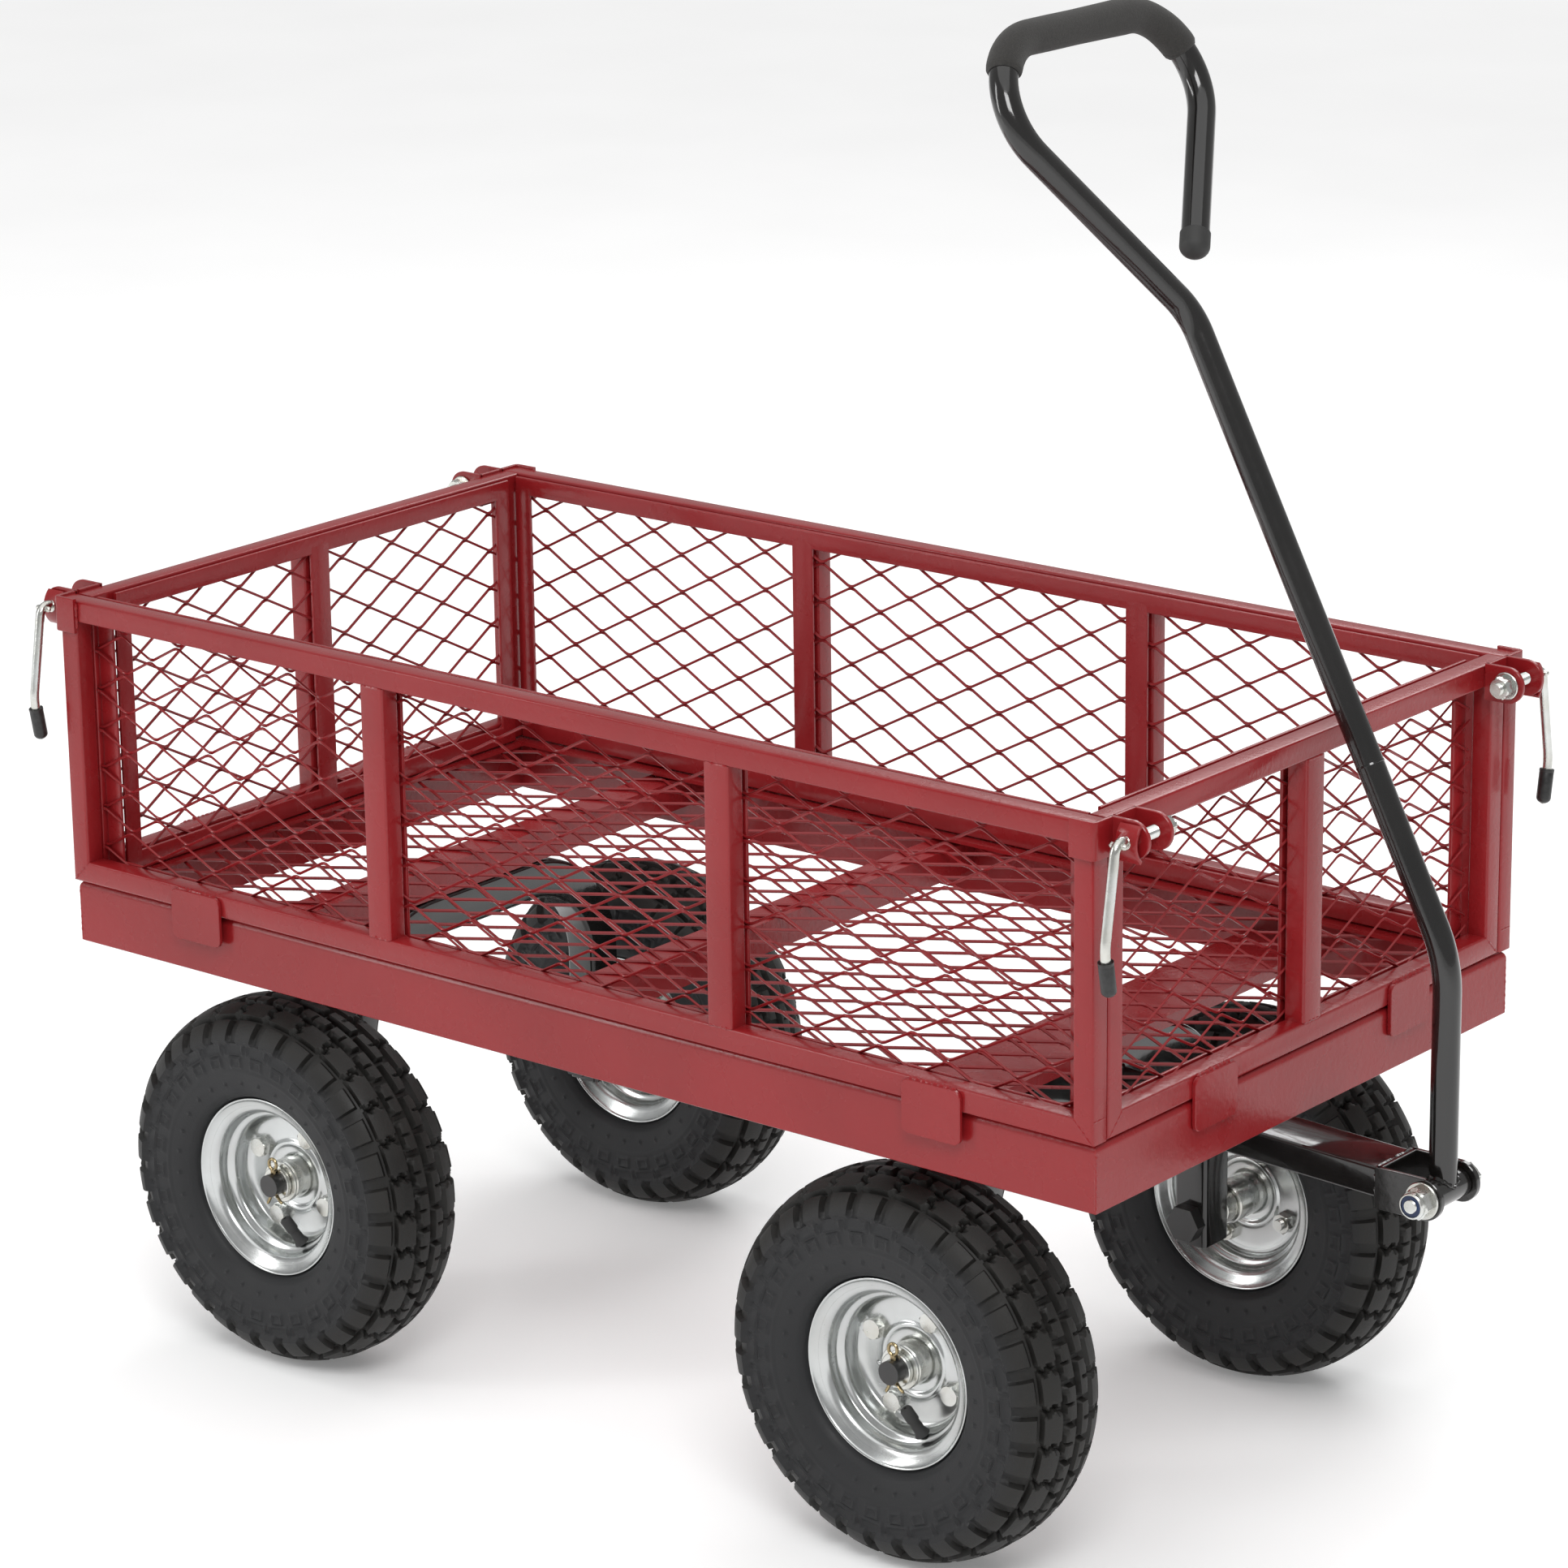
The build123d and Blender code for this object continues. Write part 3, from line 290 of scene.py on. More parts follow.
# ---------------------------------------------------------------- bed mesh
# The bed is raised expanded metal: slit sheet stretched so that every strand
# tilts and neighbours stay joined at flat knuckles. It is welded under the flange.
RED_STRAND = powder_coat(
    "red_strand_coat", (0.250, 0.011, 0.014), (0.195, 0.008, 0.010), (0.15, 0.02, 0.02), gloss=(0.24, 0.38)
)


def expanded_metal(length, height, long_pitch, short_pitch, wide, thick, tilt):
    """Strand shells in (along, up, out): row n follows a triangle wave with short flat crests,
    shifted half a wave from its neighbours, and its flat section is tilted."""
    half_pitch = long_pitch / 2
    row_pitch = short_pitch / 2
    lean = np.array([cos(tilt), sin(tilt)])
    swing = (row_pitch - wide * lean[0]) / 2
    sway = wide * lean[1] / 2
    along = np.linspace(-length / 2, length / 2, int(length / half_pitch * 10) + 1)
    corner = 0.3
    flat = np.array([
        (-1 + corner, -1), (1 - corner, -1), (1, 0), (1 - corner, 1), (-1 + corner, 1), (-1, 0),
    ])
    section = flat[:, :1] * wide / 2 * lean + flat[:, 1:] * thick / 2 * np.array([-lean[1], lean[0]])
    rows = int(height / row_pitch / 2)
    shells = []
    for row in range(-rows, rows + 1):
        triangle = np.arcsin(np.cos(pi * along / half_pitch + pi * row)) * 2 / pi
        wave = np.clip(1.14 * triangle, -1, 1)
        centre = np.stack([along, row * row_pitch + swing * wave, sway * wave], -1)
        grid = np.repeat(centre[:, None], len(section), 1)
        grid[:, :, 1:] += section[None]
        shells.append(skin(grid))
    return shells


def stand_up(shells, origin, along, up, out):
    """Turn shells from (along, up, out) into the wagon's frame."""
    axes = np.array([along, up, out], float)
    return [(points @ axes + np.asarray(origin), faces) for points, faces in shells]


bed_low, bed_high = node_corners("bed_mesh")
bed_middle = (bed_low + bed_high) / 2
bed_size = bed_high - bed_low
BED_PITCH = (60 * MM, 30 * MM)
BED_STRAND = (2.4 * MM, 1.5 * MM)
BED_TILT = 0.6
BED_SINK = 0.8 * MM
bed = expanded_metal(bed_size[0] - 4 * MM, bed_size[1] - 20 * MM, *BED_PITCH, *BED_STRAND, BED_TILT)
bed = stand_up(bed, bed_middle - UP * BED_SINK, AHEAD, LEFT, UP)
piece("bed_expanded_metal", bed, RED_STRAND, "chassis", ["bed_mesh"], sharp=50)


# ---------------------------------------------------------------- cross members and bolster
# Two box sections cross under the mesh, and a pressed plate carries the kingpin.
# They are welded to the rim's web at both ends.
repaint("cross_members", RED)
repaint("front_bolster", RED)


# ---------------------------------------------------------------- axle arches
# Each arch is square tube bent cold, so its corners stay round, and it is
# enamelled gloss black. The rear one is fixed and the front one swivels.
def black_enamel(name, rough=(0.10, 0.20)):
    """Gloss black enamel: near black with a brown cast, fine dust and faint waviness."""
    material, nodes, links, shader, place = new_material(name)
    drift = noise(nodes, links, place, 14, 5)
    tint(nodes, links, shader, drift, [(0.3, (0.005, 0.0048, 0.0045)), (0.7, (0.009, 0.008, 0.0075))])
    roughen(nodes, links, shader, noise(nodes, links, place, 90, 8, 0.65), *rough)
    shader.inputs["Coat Weight"].default_value = 0.5
    shader.inputs["Coat Roughness"].default_value = 0.06
    wavy = noise(nodes, links, place, 160, 3)
    bump(nodes, links, shader, wavy.outputs["Fac"], 0.0003, 0.3)
    return material


BLACK = black_enamel("black_enamel")


def rounded_path(points, radius, steps=14):
    """A flat polyline whose corners are arcs of the given radius, tangent to both runs."""
    points = np.asarray(points, float)
    parts = [points[:1]]
    for before, corner, after in zip(points[:-2], points[1:-1], points[2:]):
        into = (before - corner) / np.linalg.norm(before - corner)
        away = (after - corner) / np.linalg.norm(after - corner)
        half = np.arccos(np.clip(into @ away, -1, 1)) / 2
        bisector = (into + away) / np.linalg.norm(into + away)
        centre = corner + bisector * radius / np.sin(half)
        start = corner + into * radius / np.tan(half) - centre
        stop = corner + away * radius / np.tan(half) - centre
        share = np.linspace(0, 1, steps)[:, None]
        sweep = pi - 2 * half
        arc = (np.sin((1 - share) * sweep) * start + np.sin(share * sweep) * stop) / np.sin(sweep)
        parts.append(centre + arc)
    parts.append(points[-1:])
    return np.vstack(parts)


ARCH_DEPTH = 28 * MM
ARCH_WIDTH = 25 * MM
ARCH_BEND = 76 * MM
ARCH_EDGE = 3 * MM


def axle_arch(node):
    """Carry the rounded square section up one leg, over the top and down the other."""
    low, high = node_corners(node)
    middle_x = (low[0] + high[0]) / 2
    half = high[1] - ARCH_DEPTH / 2
    top = high[2] - ARCH_DEPTH / 2
    corners = [
        (middle_x, -half, low[2]), (middle_x, -half, top), (middle_x, half, top), (middle_x, half, low[2])
    ]
    path = rounded_path(corners, ARCH_BEND, 22)
    return carry(path, bar_section(ARCH_DEPTH, ARCH_WIDTH, ARCH_EDGE), AHEAD)


for end in ("rear", "front"):
    body = "chassis" if end == "rear" else "steering"
    node = f"{end}_axle_bracket"
    piece(f"{end}_axle_arch", [axle_arch(node)], BLACK, body, [node])


# ---------------------------------------------------------------- axles, spacers and cotter pins
# Black axle bolts pass the legs from inside. Zinc spacers and washers hold the
# hubs, and a spring-steel cotter pin with spread legs closes each end.
def zinc_plate(name, base=(0.68, 0.70, 0.69), rough=(0.16, 0.32), warm=(0.55, 0.54, 0.49), patches=38):
    """Bright zinc plate: soft cloudy patches, fine drawn lines and a slight yellow cast."""
    material, nodes, links, shader, place = new_material(name)
    cloud = noise(nodes, links, place, patches, 5, 0.6)
    tint(nodes, links, shader, cloud, [(0.32, warm), (0.68, base)])
    shader.inputs["Metallic"].default_value = 1.0
    roughen(nodes, links, shader, noise(nodes, links, place, 120, 6, 0.6), *rough)
    bump(nodes, links, shader, cloud.outputs["Fac"], 0.0001, 0.2)
    return material


ZINC = zinc_plate("zinc_plate")
SPRING_STEEL = zinc_plate("yellow_passivated_steel", (0.42, 0.34, 0.20), (0.20, 0.34), (0.28, 0.22, 0.12))
BLACK_STEEL = black_enamel("black_oxide_steel", rough=(0.35, 0.5))
repaint("rear_axles", BLACK_STEEL)
repaint("front_axles", BLACK_STEEL)


def ring_about(way, count, turn_by=0.0):
    """A unit circle square to a line: cos times one cross axis plus sin times the other."""
    side = unit(np.cross(UP if abs(way[2]) < 0.8 else AHEAD, way))
    turn = np.linspace(0, 2 * pi, count + 1)[:-1] + turn_by
    return np.cos(turn)[:, None] * side + np.sin(turn)[:, None] * np.cross(way, side)


def turned(profile, centre, way, count=96):
    """Turn a closed profile of (along, radius) about a line through centre along way."""
    profile = np.asarray(profile, float)
    way = unit(way)
    ring = ring_about(way, count)
    grid = np.asarray(centre) + profile[:, None, :1] * way + profile[:, None, 1:] * ring[None]
    return skin(grid, wrap_along=True)


def washer(centre, way, start, stop, outer, inner, count=48):
    """A flat washer or sleeve with lightly broken edges."""
    e = min(0.5 * MM, (stop - start) / 4)
    profile = [
        (start + e, outer),
        (start, outer - e),
        (start, inner),
        (stop, inner),
        (stop, outer - e),
        (stop - e, outer),
    ]
    return turned(profile, centre, way, count)


def wire(points, radius, sides=10):
    """A round wire along points, with rounded tips: rings square to the path, turned without twist."""
    points = np.asarray(points, float)
    way = unit(np.gradient(points, axis=0))
    normal = unit(np.cross(way, LEFT + 0.31 * UP + 0.17 * AHEAD))
    other = np.cross(way, normal)
    turn = np.linspace(0, 2 * pi, sides + 1)[:-1]
    ring = np.cos(turn)[None, :, None] * normal[:, None] + np.sin(turn)[None, :, None] * other[:, None]
    tip = np.array([0.35, 0.75, 1.0])
    size = np.concatenate([tip, np.ones(len(points)), tip[::-1]]) * radius
    ends = np.array([0.98, 0.65, 0.0])
    first = points[0] - way[0] * radius * ends[:, None]
    last = points[-1] + way[-1] * radius * ends[::-1][:, None]
    line = np.vstack([first, points, last])
    ring = np.concatenate([np.repeat(ring[:1], 3, 0), ring, np.repeat(ring[-1:], 3, 0)])
    return skin(line[:, None] + size[:, None, None] * ring)


def cotter_pin(centre, side):
    """A split pin: round eye on top, two wires down through the axle, legs bent apart below."""
    turn = np.linspace(-0.42 * pi, 1.42 * pi, 22)
    eye = np.stack([3.4 * MM * np.cos(turn), 0 * turn, 14.6 * MM + 3.9 * MM * np.sin(turn)], -1)
    leg_run = np.linspace(0, 1, 12)
    spread_out = np.clip((leg_run - 0.55) / 0.45, 0, 1) ** 1.6
    drop = 10.6 * MM - 24 * MM * leg_run
    right_leg = np.stack(
        [0.8 * MM + 9 * MM * spread_out, side * 3 * MM * spread_out, drop + 3 * MM * spread_out], -1
    )
    left_leg = np.stack([-0.8 * MM - 3 * MM * spread_out, side * 2 * MM * spread_out, drop], -1)
    route = np.vstack([left_leg[::-1], eye[::-1], right_leg])
    return wire(route + centre, 1.15 * MM)


AXLE_RADIUS = 7.8 * MM
COTTER_OUT = 209 * MM
# start, stop and radius in millimetres, outward from the wagon's middle
SPACER = (141, 152.6, 12)
WIDE_WASHER = (200.4, 202.6, 14.6)
THICK_WASHER = (202.9, 206.8, 11.4)
for end in ("rear", "front"):
    node = f"{end}_axle_washers"
    low, high = node_corners(node)
    axle_x = (low[0] + high[0]) / 2
    axle_z = (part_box(f"{end}_axles")[0][2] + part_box(f"{end}_axles")[1][2]) / 2
    shells = []
    for side in (-1, 1):
        centre = np.array([axle_x, 0, axle_z])
        way = LEFT * side
        bore = AXLE_RADIUS + 0.1 * MM
        for start, stop, radius in (SPACER, WIDE_WASHER, THICK_WASHER):
            shells.append(washer(centre, way, start * MM, stop * MM, radius * MM, bore))
    body = "chassis" if end == "rear" else "steering"
    piece(f"{end}_axle_hardware", shells, ZINC, body, [node])
    pins = [cotter_pin(np.array([axle_x, side * COTTER_OUT, axle_z]), side) for side in (-1, 1)]
    piece(f"{end}_cotter_pins", pins, SPRING_STEEL, body)

repaint("kingpin", BLACK_STEEL)
repaint("thrust_washer", ZINC)


# ---------------------------------------------------------------- tongue and clevis
# A flat box tube is butt welded to the front arch and ends in a bent plate
# whose two round ears hold the handle's pivot bolt.
tongue_low, tongue_high = node_corners("tongue")
clevis_low, clevis_high = node_corners("clevis")
bolt_low, bolt_high = node_corners("clevis_bolt")
pivot = np.array([(bolt_low[0] + bolt_high[0]) / 2, 0, (bolt_low[2] + bolt_high[2]) / 2])
TONGUE_DEPTH = 20 * MM
TONGUE_WIDTH = 40 * MM
WELD = 1.9 * MM
TONGUE_TIP_TOP = 261 * MM
root = np.array([tongue_low[0], 0, tongue_high[2] - TONGUE_DEPTH / 2])
tip = np.array([tongue_high[0], 0, TONGUE_TIP_TOP - TONGUE_DEPTH / 2])
shells = [carry([root, tip], bar_section(TONGUE_DEPTH, TONGUE_WIDTH, 2 * MM), LEFT)]
for k, (side, height) in enumerate([(-1, 1), (1, 1), (-1, -1), (1, -1)]):
    edge_y = side * TONGUE_WIDTH / 2
    edge_z = height * TONGUE_DEPTH / 2
    for end_point, seed in ((root, 30), (tip, 40)):
        a = end_point + [0, edge_y, edge_z]
        b = end_point + [0, 0, edge_z]
        shells.append(bead([a, b], WELD, seed + k))
    shells.append(bead([tip + [0, edge_y, edge_z], tip + [0, edge_y, 0]], WELD, 50 + k))
piece("tongue_tube", shells, BLACK, "steering", ["tongue"])


def plate(outline, thickness, edge, centre, along, up, out):
    """A flat plate: its outline (along, up) stacked four times, drawn in a little at both faces."""
    outline = np.asarray(outline, float)
    middle = outline.mean(0)
    reach = np.linalg.norm(outline - middle, axis=1)[:, None]
    drawn = middle + (outline - middle) * (1 - edge / reach)
    levels = [
        (drawn, -thickness / 2),
        (outline, edge - thickness / 2),
        (outline, thickness / 2 - edge),
        (drawn, thickness / 2),
    ]
    rings = [np.concatenate([ring, np.full((len(ring), 1), level)], 1) for ring, level in levels]
    return stand_up([skin(np.stack(rings))], centre, along, up, out)[0]


def ear_outline(length, radius, steps=18):
    """A strip with one round end: square at the root, a half circle about the bolt."""
    turn = np.linspace(-pi / 2, pi / 2, steps)
    tip_arc = np.stack([length + radius * np.cos(turn), radius * np.sin(turn)], -1)
    return np.vstack([[(0, -radius)], tip_arc, [(0, radius)]])


CLEVIS_RADIUS = 13.5 * MM
CLEVIS_SHEET = 4 * MM
web_x = clevis_low[0]
ear_reach = pivot[0] - web_x
shells = []
for side in (-1, 1):
    ear_middle = np.array([web_x, side * (clevis_high[1] - CLEVIS_SHEET / 2), pivot[2]])
    shells.append(
        plate(ear_outline(ear_reach, CLEVIS_RADIUS), CLEVIS_SHEET, 0.5 * MM, ear_middle, AHEAD, UP, LEFT)
    )
web_path = [
    (web_x + CLEVIS_SHEET / 2, -clevis_high[1] + 1 * MM, pivot[2]),
    (web_x + CLEVIS_SHEET / 2, clevis_high[1] - 1 * MM, pivot[2]),
]
shells.append(carry(web_path, bar_section(CLEVIS_SHEET, 2 * CLEVIS_RADIUS, 0.8 * MM), UP))
piece("clevis_plate", shells, BLACK, "steering", ["clevis"])


def hexagon(centre, way, start, stop, radius, turn_by=0.0):
    """A hexagon bolt head or nut: six flats, its top corners turned down to a round chamfer."""
    ring = ring_about(way, 36, turn_by)
    turn = np.linspace(0, 2 * pi, 37)[:-1]
    flat = radius * cos(pi / 6) / np.cos((turn + pi / 6) % (pi / 3) - pi / 6)
    low = 0.9 * (stop - start)
    rings = [(start, flat), (start + low, flat), (stop, np.minimum(flat, radius * 0.86)), (stop, flat * 0.5)]
    return skin(np.stack([centre + at * way + size[:, None] * ring for at, size in rings]))


def threaded_rod(centre, way, start, stop, radius, pitch):
    """A bolt's thread: rings whose radius rises and falls by a fifth of the pitch each turn."""
    at = np.arange(start, stop, pitch / 4)
    size = radius - pitch * 0.22 * (1 - np.cos(2 * pi * (at - start) / pitch))
    at = np.concatenate([[start], at, [stop, stop]])
    size = np.concatenate([[0.2 * radius], size, [size[-1], 0.2 * radius]])
    ring = ring_about(way, 24)
    return skin(centre + at[:, None, None] * way + size[:, None, None] * ring[None])


def nylon(name):
    """The lock nut's nylon ring: smooth dark blue plastic with slight cloudiness."""
    material, nodes, links, shader, place = new_material(name)
    cloud = noise(nodes, links, place, 300, 3)
    tint(nodes, links, shader, cloud, [(0.3, (0.012, 0.025, 0.07)), (0.7, (0.02, 0.04, 0.11))])
    shader.inputs["Roughness"].default_value = 0.35
    return material


NYLON = nylon("lock_nut_nylon")
ear_face = clevis_high[1]
right = -LEFT
shells = [
    hexagon(pivot, LEFT, ear_face, ear_face + 7 * MM, 10.5 * MM, 0.2),
    washer(pivot, right, ear_face, ear_face + 2.2 * MM, 12 * MM, 5.9 * MM),
    hexagon(pivot, right, ear_face + 2.2 * MM, ear_face + 10.5 * MM, 10.2 * MM, 0.35),
    washer(pivot, right, ear_face + 10 * MM, ear_face + 14 * MM, 8.4 * MM, 7.2 * MM),
    threaded_rod(pivot, right, -ear_face, ear_face + 15.0 * MM, 4.2 * MM, 1.5 * MM),
]
piece("handle_pivot_bolt", shells, ZINC, "steering", ["clevis_bolt"])
ring = washer(pivot, right, ear_face + 10.2 * MM, ear_face + 13.4 * MM, 7.3 * MM, 4.1 * MM)
piece("handle_pivot_nylon_ring", [ring], NYLON, "steering")


# ---------------------------------------------------------------- handle
# Round steel tube in gloss black enamel: a short sleeve on the pivot, the lower
# tube welded to it, and the upper tube bent into an open D. A slip joint shows as a fine step.
TUBE_RADIUS = 9 * MM
tray_x = deck_middle[0]
bend = np.array([pivot[0], 0, 398 * MM])
JOINT_HEIGHT = 512 * MM
apex = np.array([tray_x + 336 * MM, 0, 776 * MM])
up_tube = (apex - bend) / np.linalg.norm(apex - bend)
joint = bend + up_tube * (JOINT_HEIGHT - bend[2]) / up_tube[2]
LOOP_LENGTH = 189 * MM
LOOP_HALF = 139 * MM
LOOP_BEND = 45 * MM
END_SHARE = 0.21


def tube(points, radius, sides=28):
    """A round tube along a smooth, flat path: each ring is square to the path; every ring uses the normal of
    the path's best-fit plane, so the tube never twists."""
    points = np.asarray(points, float)
    way = unit(np.gradient(points, axis=0))
    plane = np.linalg.svd(points - points.mean(0))[2][2]
    normal = np.repeat(plane[None], len(points), 0)
    other = unit(np.cross(way, normal))
    turn = np.linspace(0, 2 * pi, sides + 1)[:-1]
    ring = np.cos(turn)[None, :, None] * normal[:, None] + np.sin(turn)[None, :, None] * other[:, None]
    size = np.broadcast_to(np.asarray(radius, float), (len(points),))
    return skin(points[:, None] + size[:, None, None] * ring)


sleeve_half = 18 * MM
SLEEVE_RADIUS = 9.6 * MM
shells = [washer(pivot - LEFT * sleeve_half, LEFT, 0, 2 * sleeve_half, SLEEVE_RADIUS, 6.1 * MM, 64)]
piece("handle_pivot_sleeve", shells, BLACK, "handle", ["handle_sleeve"])

lower_path = rounded_path([pivot + UP * 4 * MM, bend, joint], 90 * MM)
turn = np.linspace(0, 2 * pi, 40)
weld_ring = np.stack([
    pivot[0] + TUBE_RADIUS * np.cos(turn),
    TUBE_RADIUS * np.sin(turn),
    pivot[2] + np.sqrt(np.maximum(SLEEVE_RADIUS ** 2 - (TUBE_RADIUS * np.cos(turn)) ** 2, 0)) + 0.4 * MM,
], -1)
shells = [tube(lower_path, TUBE_RADIUS), bead(weld_ring, 1.7 * MM, 60)]
piece("handle_lower_post", shells, BLACK, "handle", ["handle_lower_tube"])

corner_rise = up_tube * LOOP_LENGTH
loop_path = rounded_path([
    joint,
    apex,
    apex + corner_rise - LEFT * LOOP_HALF,
    apex + corner_rise + LEFT * LOOP_HALF,
    apex + (corner_rise + LEFT * LOOP_HALF) * END_SHARE,
], LOOP_BEND, 26)
collar = np.array([joint - up_tube * 0.6 * MM, joint, joint + up_tube * 1.2 * MM])
shells = [tube(loop_path, TUBE_RADIUS), tube(collar, [8.6 * MM, 9.35 * MM, 9.1 * MM])]
piece("handle_upper_loop", shells, BLACK, "handle", ["handle_upper_tube"])


def foam(name):
    """Closed-cell foam: soft matte near-black with a fine pebbled skin."""
    material, nodes, links, shader, place = new_material(name)
    cells = noise(nodes, links, place, 900, 4, 0.7)
    tint(nodes, links, shader, cells, [(0.3, (0.016, 0.015, 0.014)), (0.7, (0.034, 0.032, 0.029))])
    shader.inputs["Roughness"].default_value = 0.92
    shader.inputs["Sheen Weight"].default_value = 0.08
    shader.inputs["Sheen Roughness"].default_value = 0.6
    bump(nodes, links, shader, cells.outputs["Fac"], 0.0006, 0.55)
    return material


FOAM = foam("grip_foam")
leg_angle = atan2(LOOP_LENGTH, LOOP_HALF)
straight_half = LOOP_HALF - LOOP_BEND / tan(leg_angle / 2)
bend_centre = apex + corner_rise - up_tube * LOOP_BEND
right_wrap = np.linspace(radians(54), 0, 20)
left_wrap = np.linspace(0, radians(70), 24)
across = np.linspace(-straight_half, straight_half, 24)[1:-1]
grip_path = np.vstack([
    bend_centre - LEFT * straight_half + LOOP_BEND * (
        np.cos(right_wrap)[:, None] * up_tube - np.sin(right_wrap)[:, None] * LEFT
    ),
    bend_centre + across[:, None] * LEFT + up_tube * LOOP_BEND,
    bend_centre + LEFT * straight_half + LOOP_BEND * (
        np.cos(left_wrap)[:, None] * up_tube + np.sin(left_wrap)[:, None] * LEFT
    ),
])
grip_run = np.linspace(0, 1, len(grip_path))
rng = np.random.default_rng(7)
grip_size = 11.2 * MM + 0.25 * MM * np.interp(grip_run, np.linspace(0, 1, 12), rng.standard_normal(12))
grip_size[[0, -1]] = 9.6 * MM
grip_size[[1, -2]] = 11.0 * MM
grip = piece(
    "handle_foam_grip",
    [tube(grip_path, grip_size, 36)],
    FOAM,
    "handle",
    ["handle_grip"],
    sharp=60,
)


def moulded_rubber(name, light=(0.030, 0.030, 0.029), dark=(0.017, 0.017, 0.017), rough=(0.5, 0.68)):
    """Black moulded rubber: satin skin, slight bloom and a fine grain."""
    material, nodes, links, shader, place = new_material(name)
    bloom = noise(nodes, links, place, 60, 6, 0.6)
    tint(nodes, links, shader, bloom, [(0.3, dark), (0.7, light)])
    roughen(nodes, links, shader, bloom, *rough)
    grain = noise(nodes, links, place, 1400, 2)
    bump(nodes, links, shader, grain.outputs["Fac"], 0.0002, 0.4)
    return material


RUBBER = moulded_rubber("moulded_rubber")


def round_cap(start, way, radius, length, sides=28):
    """A cap over a rod's end: straight wall, then a dome of quarter-ellipse profile."""
    turn = np.linspace(0, pi / 2 * 0.96, 9)
    at = np.concatenate([[0, 0.6 * MM], length - radius * 0.8 + radius * 0.8 * np.sin(turn)])
    size = np.concatenate([[radius * 0.93, radius], radius * np.cos(turn)])
    way = np.asarray(way, float) / np.linalg.norm(way)
    side = unit(np.cross(way, AHEAD + 0.2 * LEFT))
    top = np.cross(way, side)
    ring_turn = np.linspace(0, 2 * pi, sides + 1)[:-1]
    ring = np.cos(ring_turn)[:, None] * side + np.sin(ring_turn)[:, None] * top
    return skin(np.asarray(start) + at[:, None, None] * way + size[:, None, None] * ring[None])


end_way = unit(loop_path[-1] - loop_path[-2])
cap_shell = round_cap(loop_path[-1] - end_way * 9 * MM, end_way, 9.7 * MM, 17.6 * MM)
piece("handle_loop_end_cap", [cap_shell], RUBBER, "handle", ["handle_end_cap"])


# ---------------------------------------------------------------- tyres
# Pneumatic 10 inch tyres of moulded rubber: a round crown with blocks standing
# on it, ribs round plain squares on the sidewall, and small vent nubs.
def tyre_rubber(name):
    """Tyre rubber: brown-black where the tread runs, blue-grey bloom on the sidewalls."""
    material, nodes, links, shader, place = new_material(name)
    crown = nodes.new("ShaderNodeAttribute")
    crown.attribute_name = "crown"
    bloom = noise(nodes, links, place, 34, 7, 0.62)
    wall = ramp(
        nodes, links, bloom.outputs["Fac"], [(0.3, (0.0085, 0.0088, 0.0098)), (0.7, (0.0150, 0.0155, 0.0170))]
    )
    tread = ramp(
        nodes, links, bloom.outputs["Fac"], [(0.3, (0.0075, 0.0070, 0.0062)), (0.7, (0.0150, 0.0140, 0.0122))]
    )
    mix = nodes.new("ShaderNodeMix")
    mix.data_type = "RGBA"
    links.new(crown.outputs["Fac"], mix.inputs["Factor"])
    links.new(wall.outputs["Color"], mix.inputs["A"])
    links.new(tread.outputs["Color"], mix.inputs["B"])
    links.new(mix.outputs["Result"], shader.inputs["Base Color"])
    roughen(nodes, links, shader, bloom, 0.48, 0.66)
    shader.inputs["Specular IOR Level"].default_value = 0.4
    grain = noise(nodes, links, place, 700, 3, 0.6)
    bump(nodes, links, shader, grain.outputs["Fac"], 0.0004, 0.4)
    return material


TYRE = tyre_rubber("tyre_rubber")
TYRE_RADIUS = 129 * MM
TREAD_PITCHES = 30
PITCH = 2 * pi * TYRE_RADIUS / TREAD_PITCHES
AROUND_PER_PITCH = 20
BLOCK_HEIGHT = 4.6 * MM


def step_up(distance, width):
    """Rise smoothly from 0 to 1 as distance goes from 0 to width."""
    t = np.clip(distance / width, 0, 1)
    return t * t * (3 - 2 * t)


def block(x, y, corners, soft=1.3 * MM):
    """Height of one convex block: the least distance inside its edges, turned into a steep wall."""
    corners = np.asarray(corners, float) * MM
    inside = np.full(np.broadcast(x, y).shape, 1.0)
    for (ax, ay), (bx, by) in zip(corners, np.roll(corners, -1, 0)):
        length = np.hypot(bx - ax, by - ay)
        inside = np.minimum(inside, ((bx - ax) * (y - ay) - (by - ay) * (x - ax)) / length)
    return step_up(inside, soft)


def wrap(x, shift):
    """Place round the tyre measured from a block's middle, -half..half a pitch."""
    return (x - shift * PITCH + PITCH / 2) % PITCH - PITCH / 2


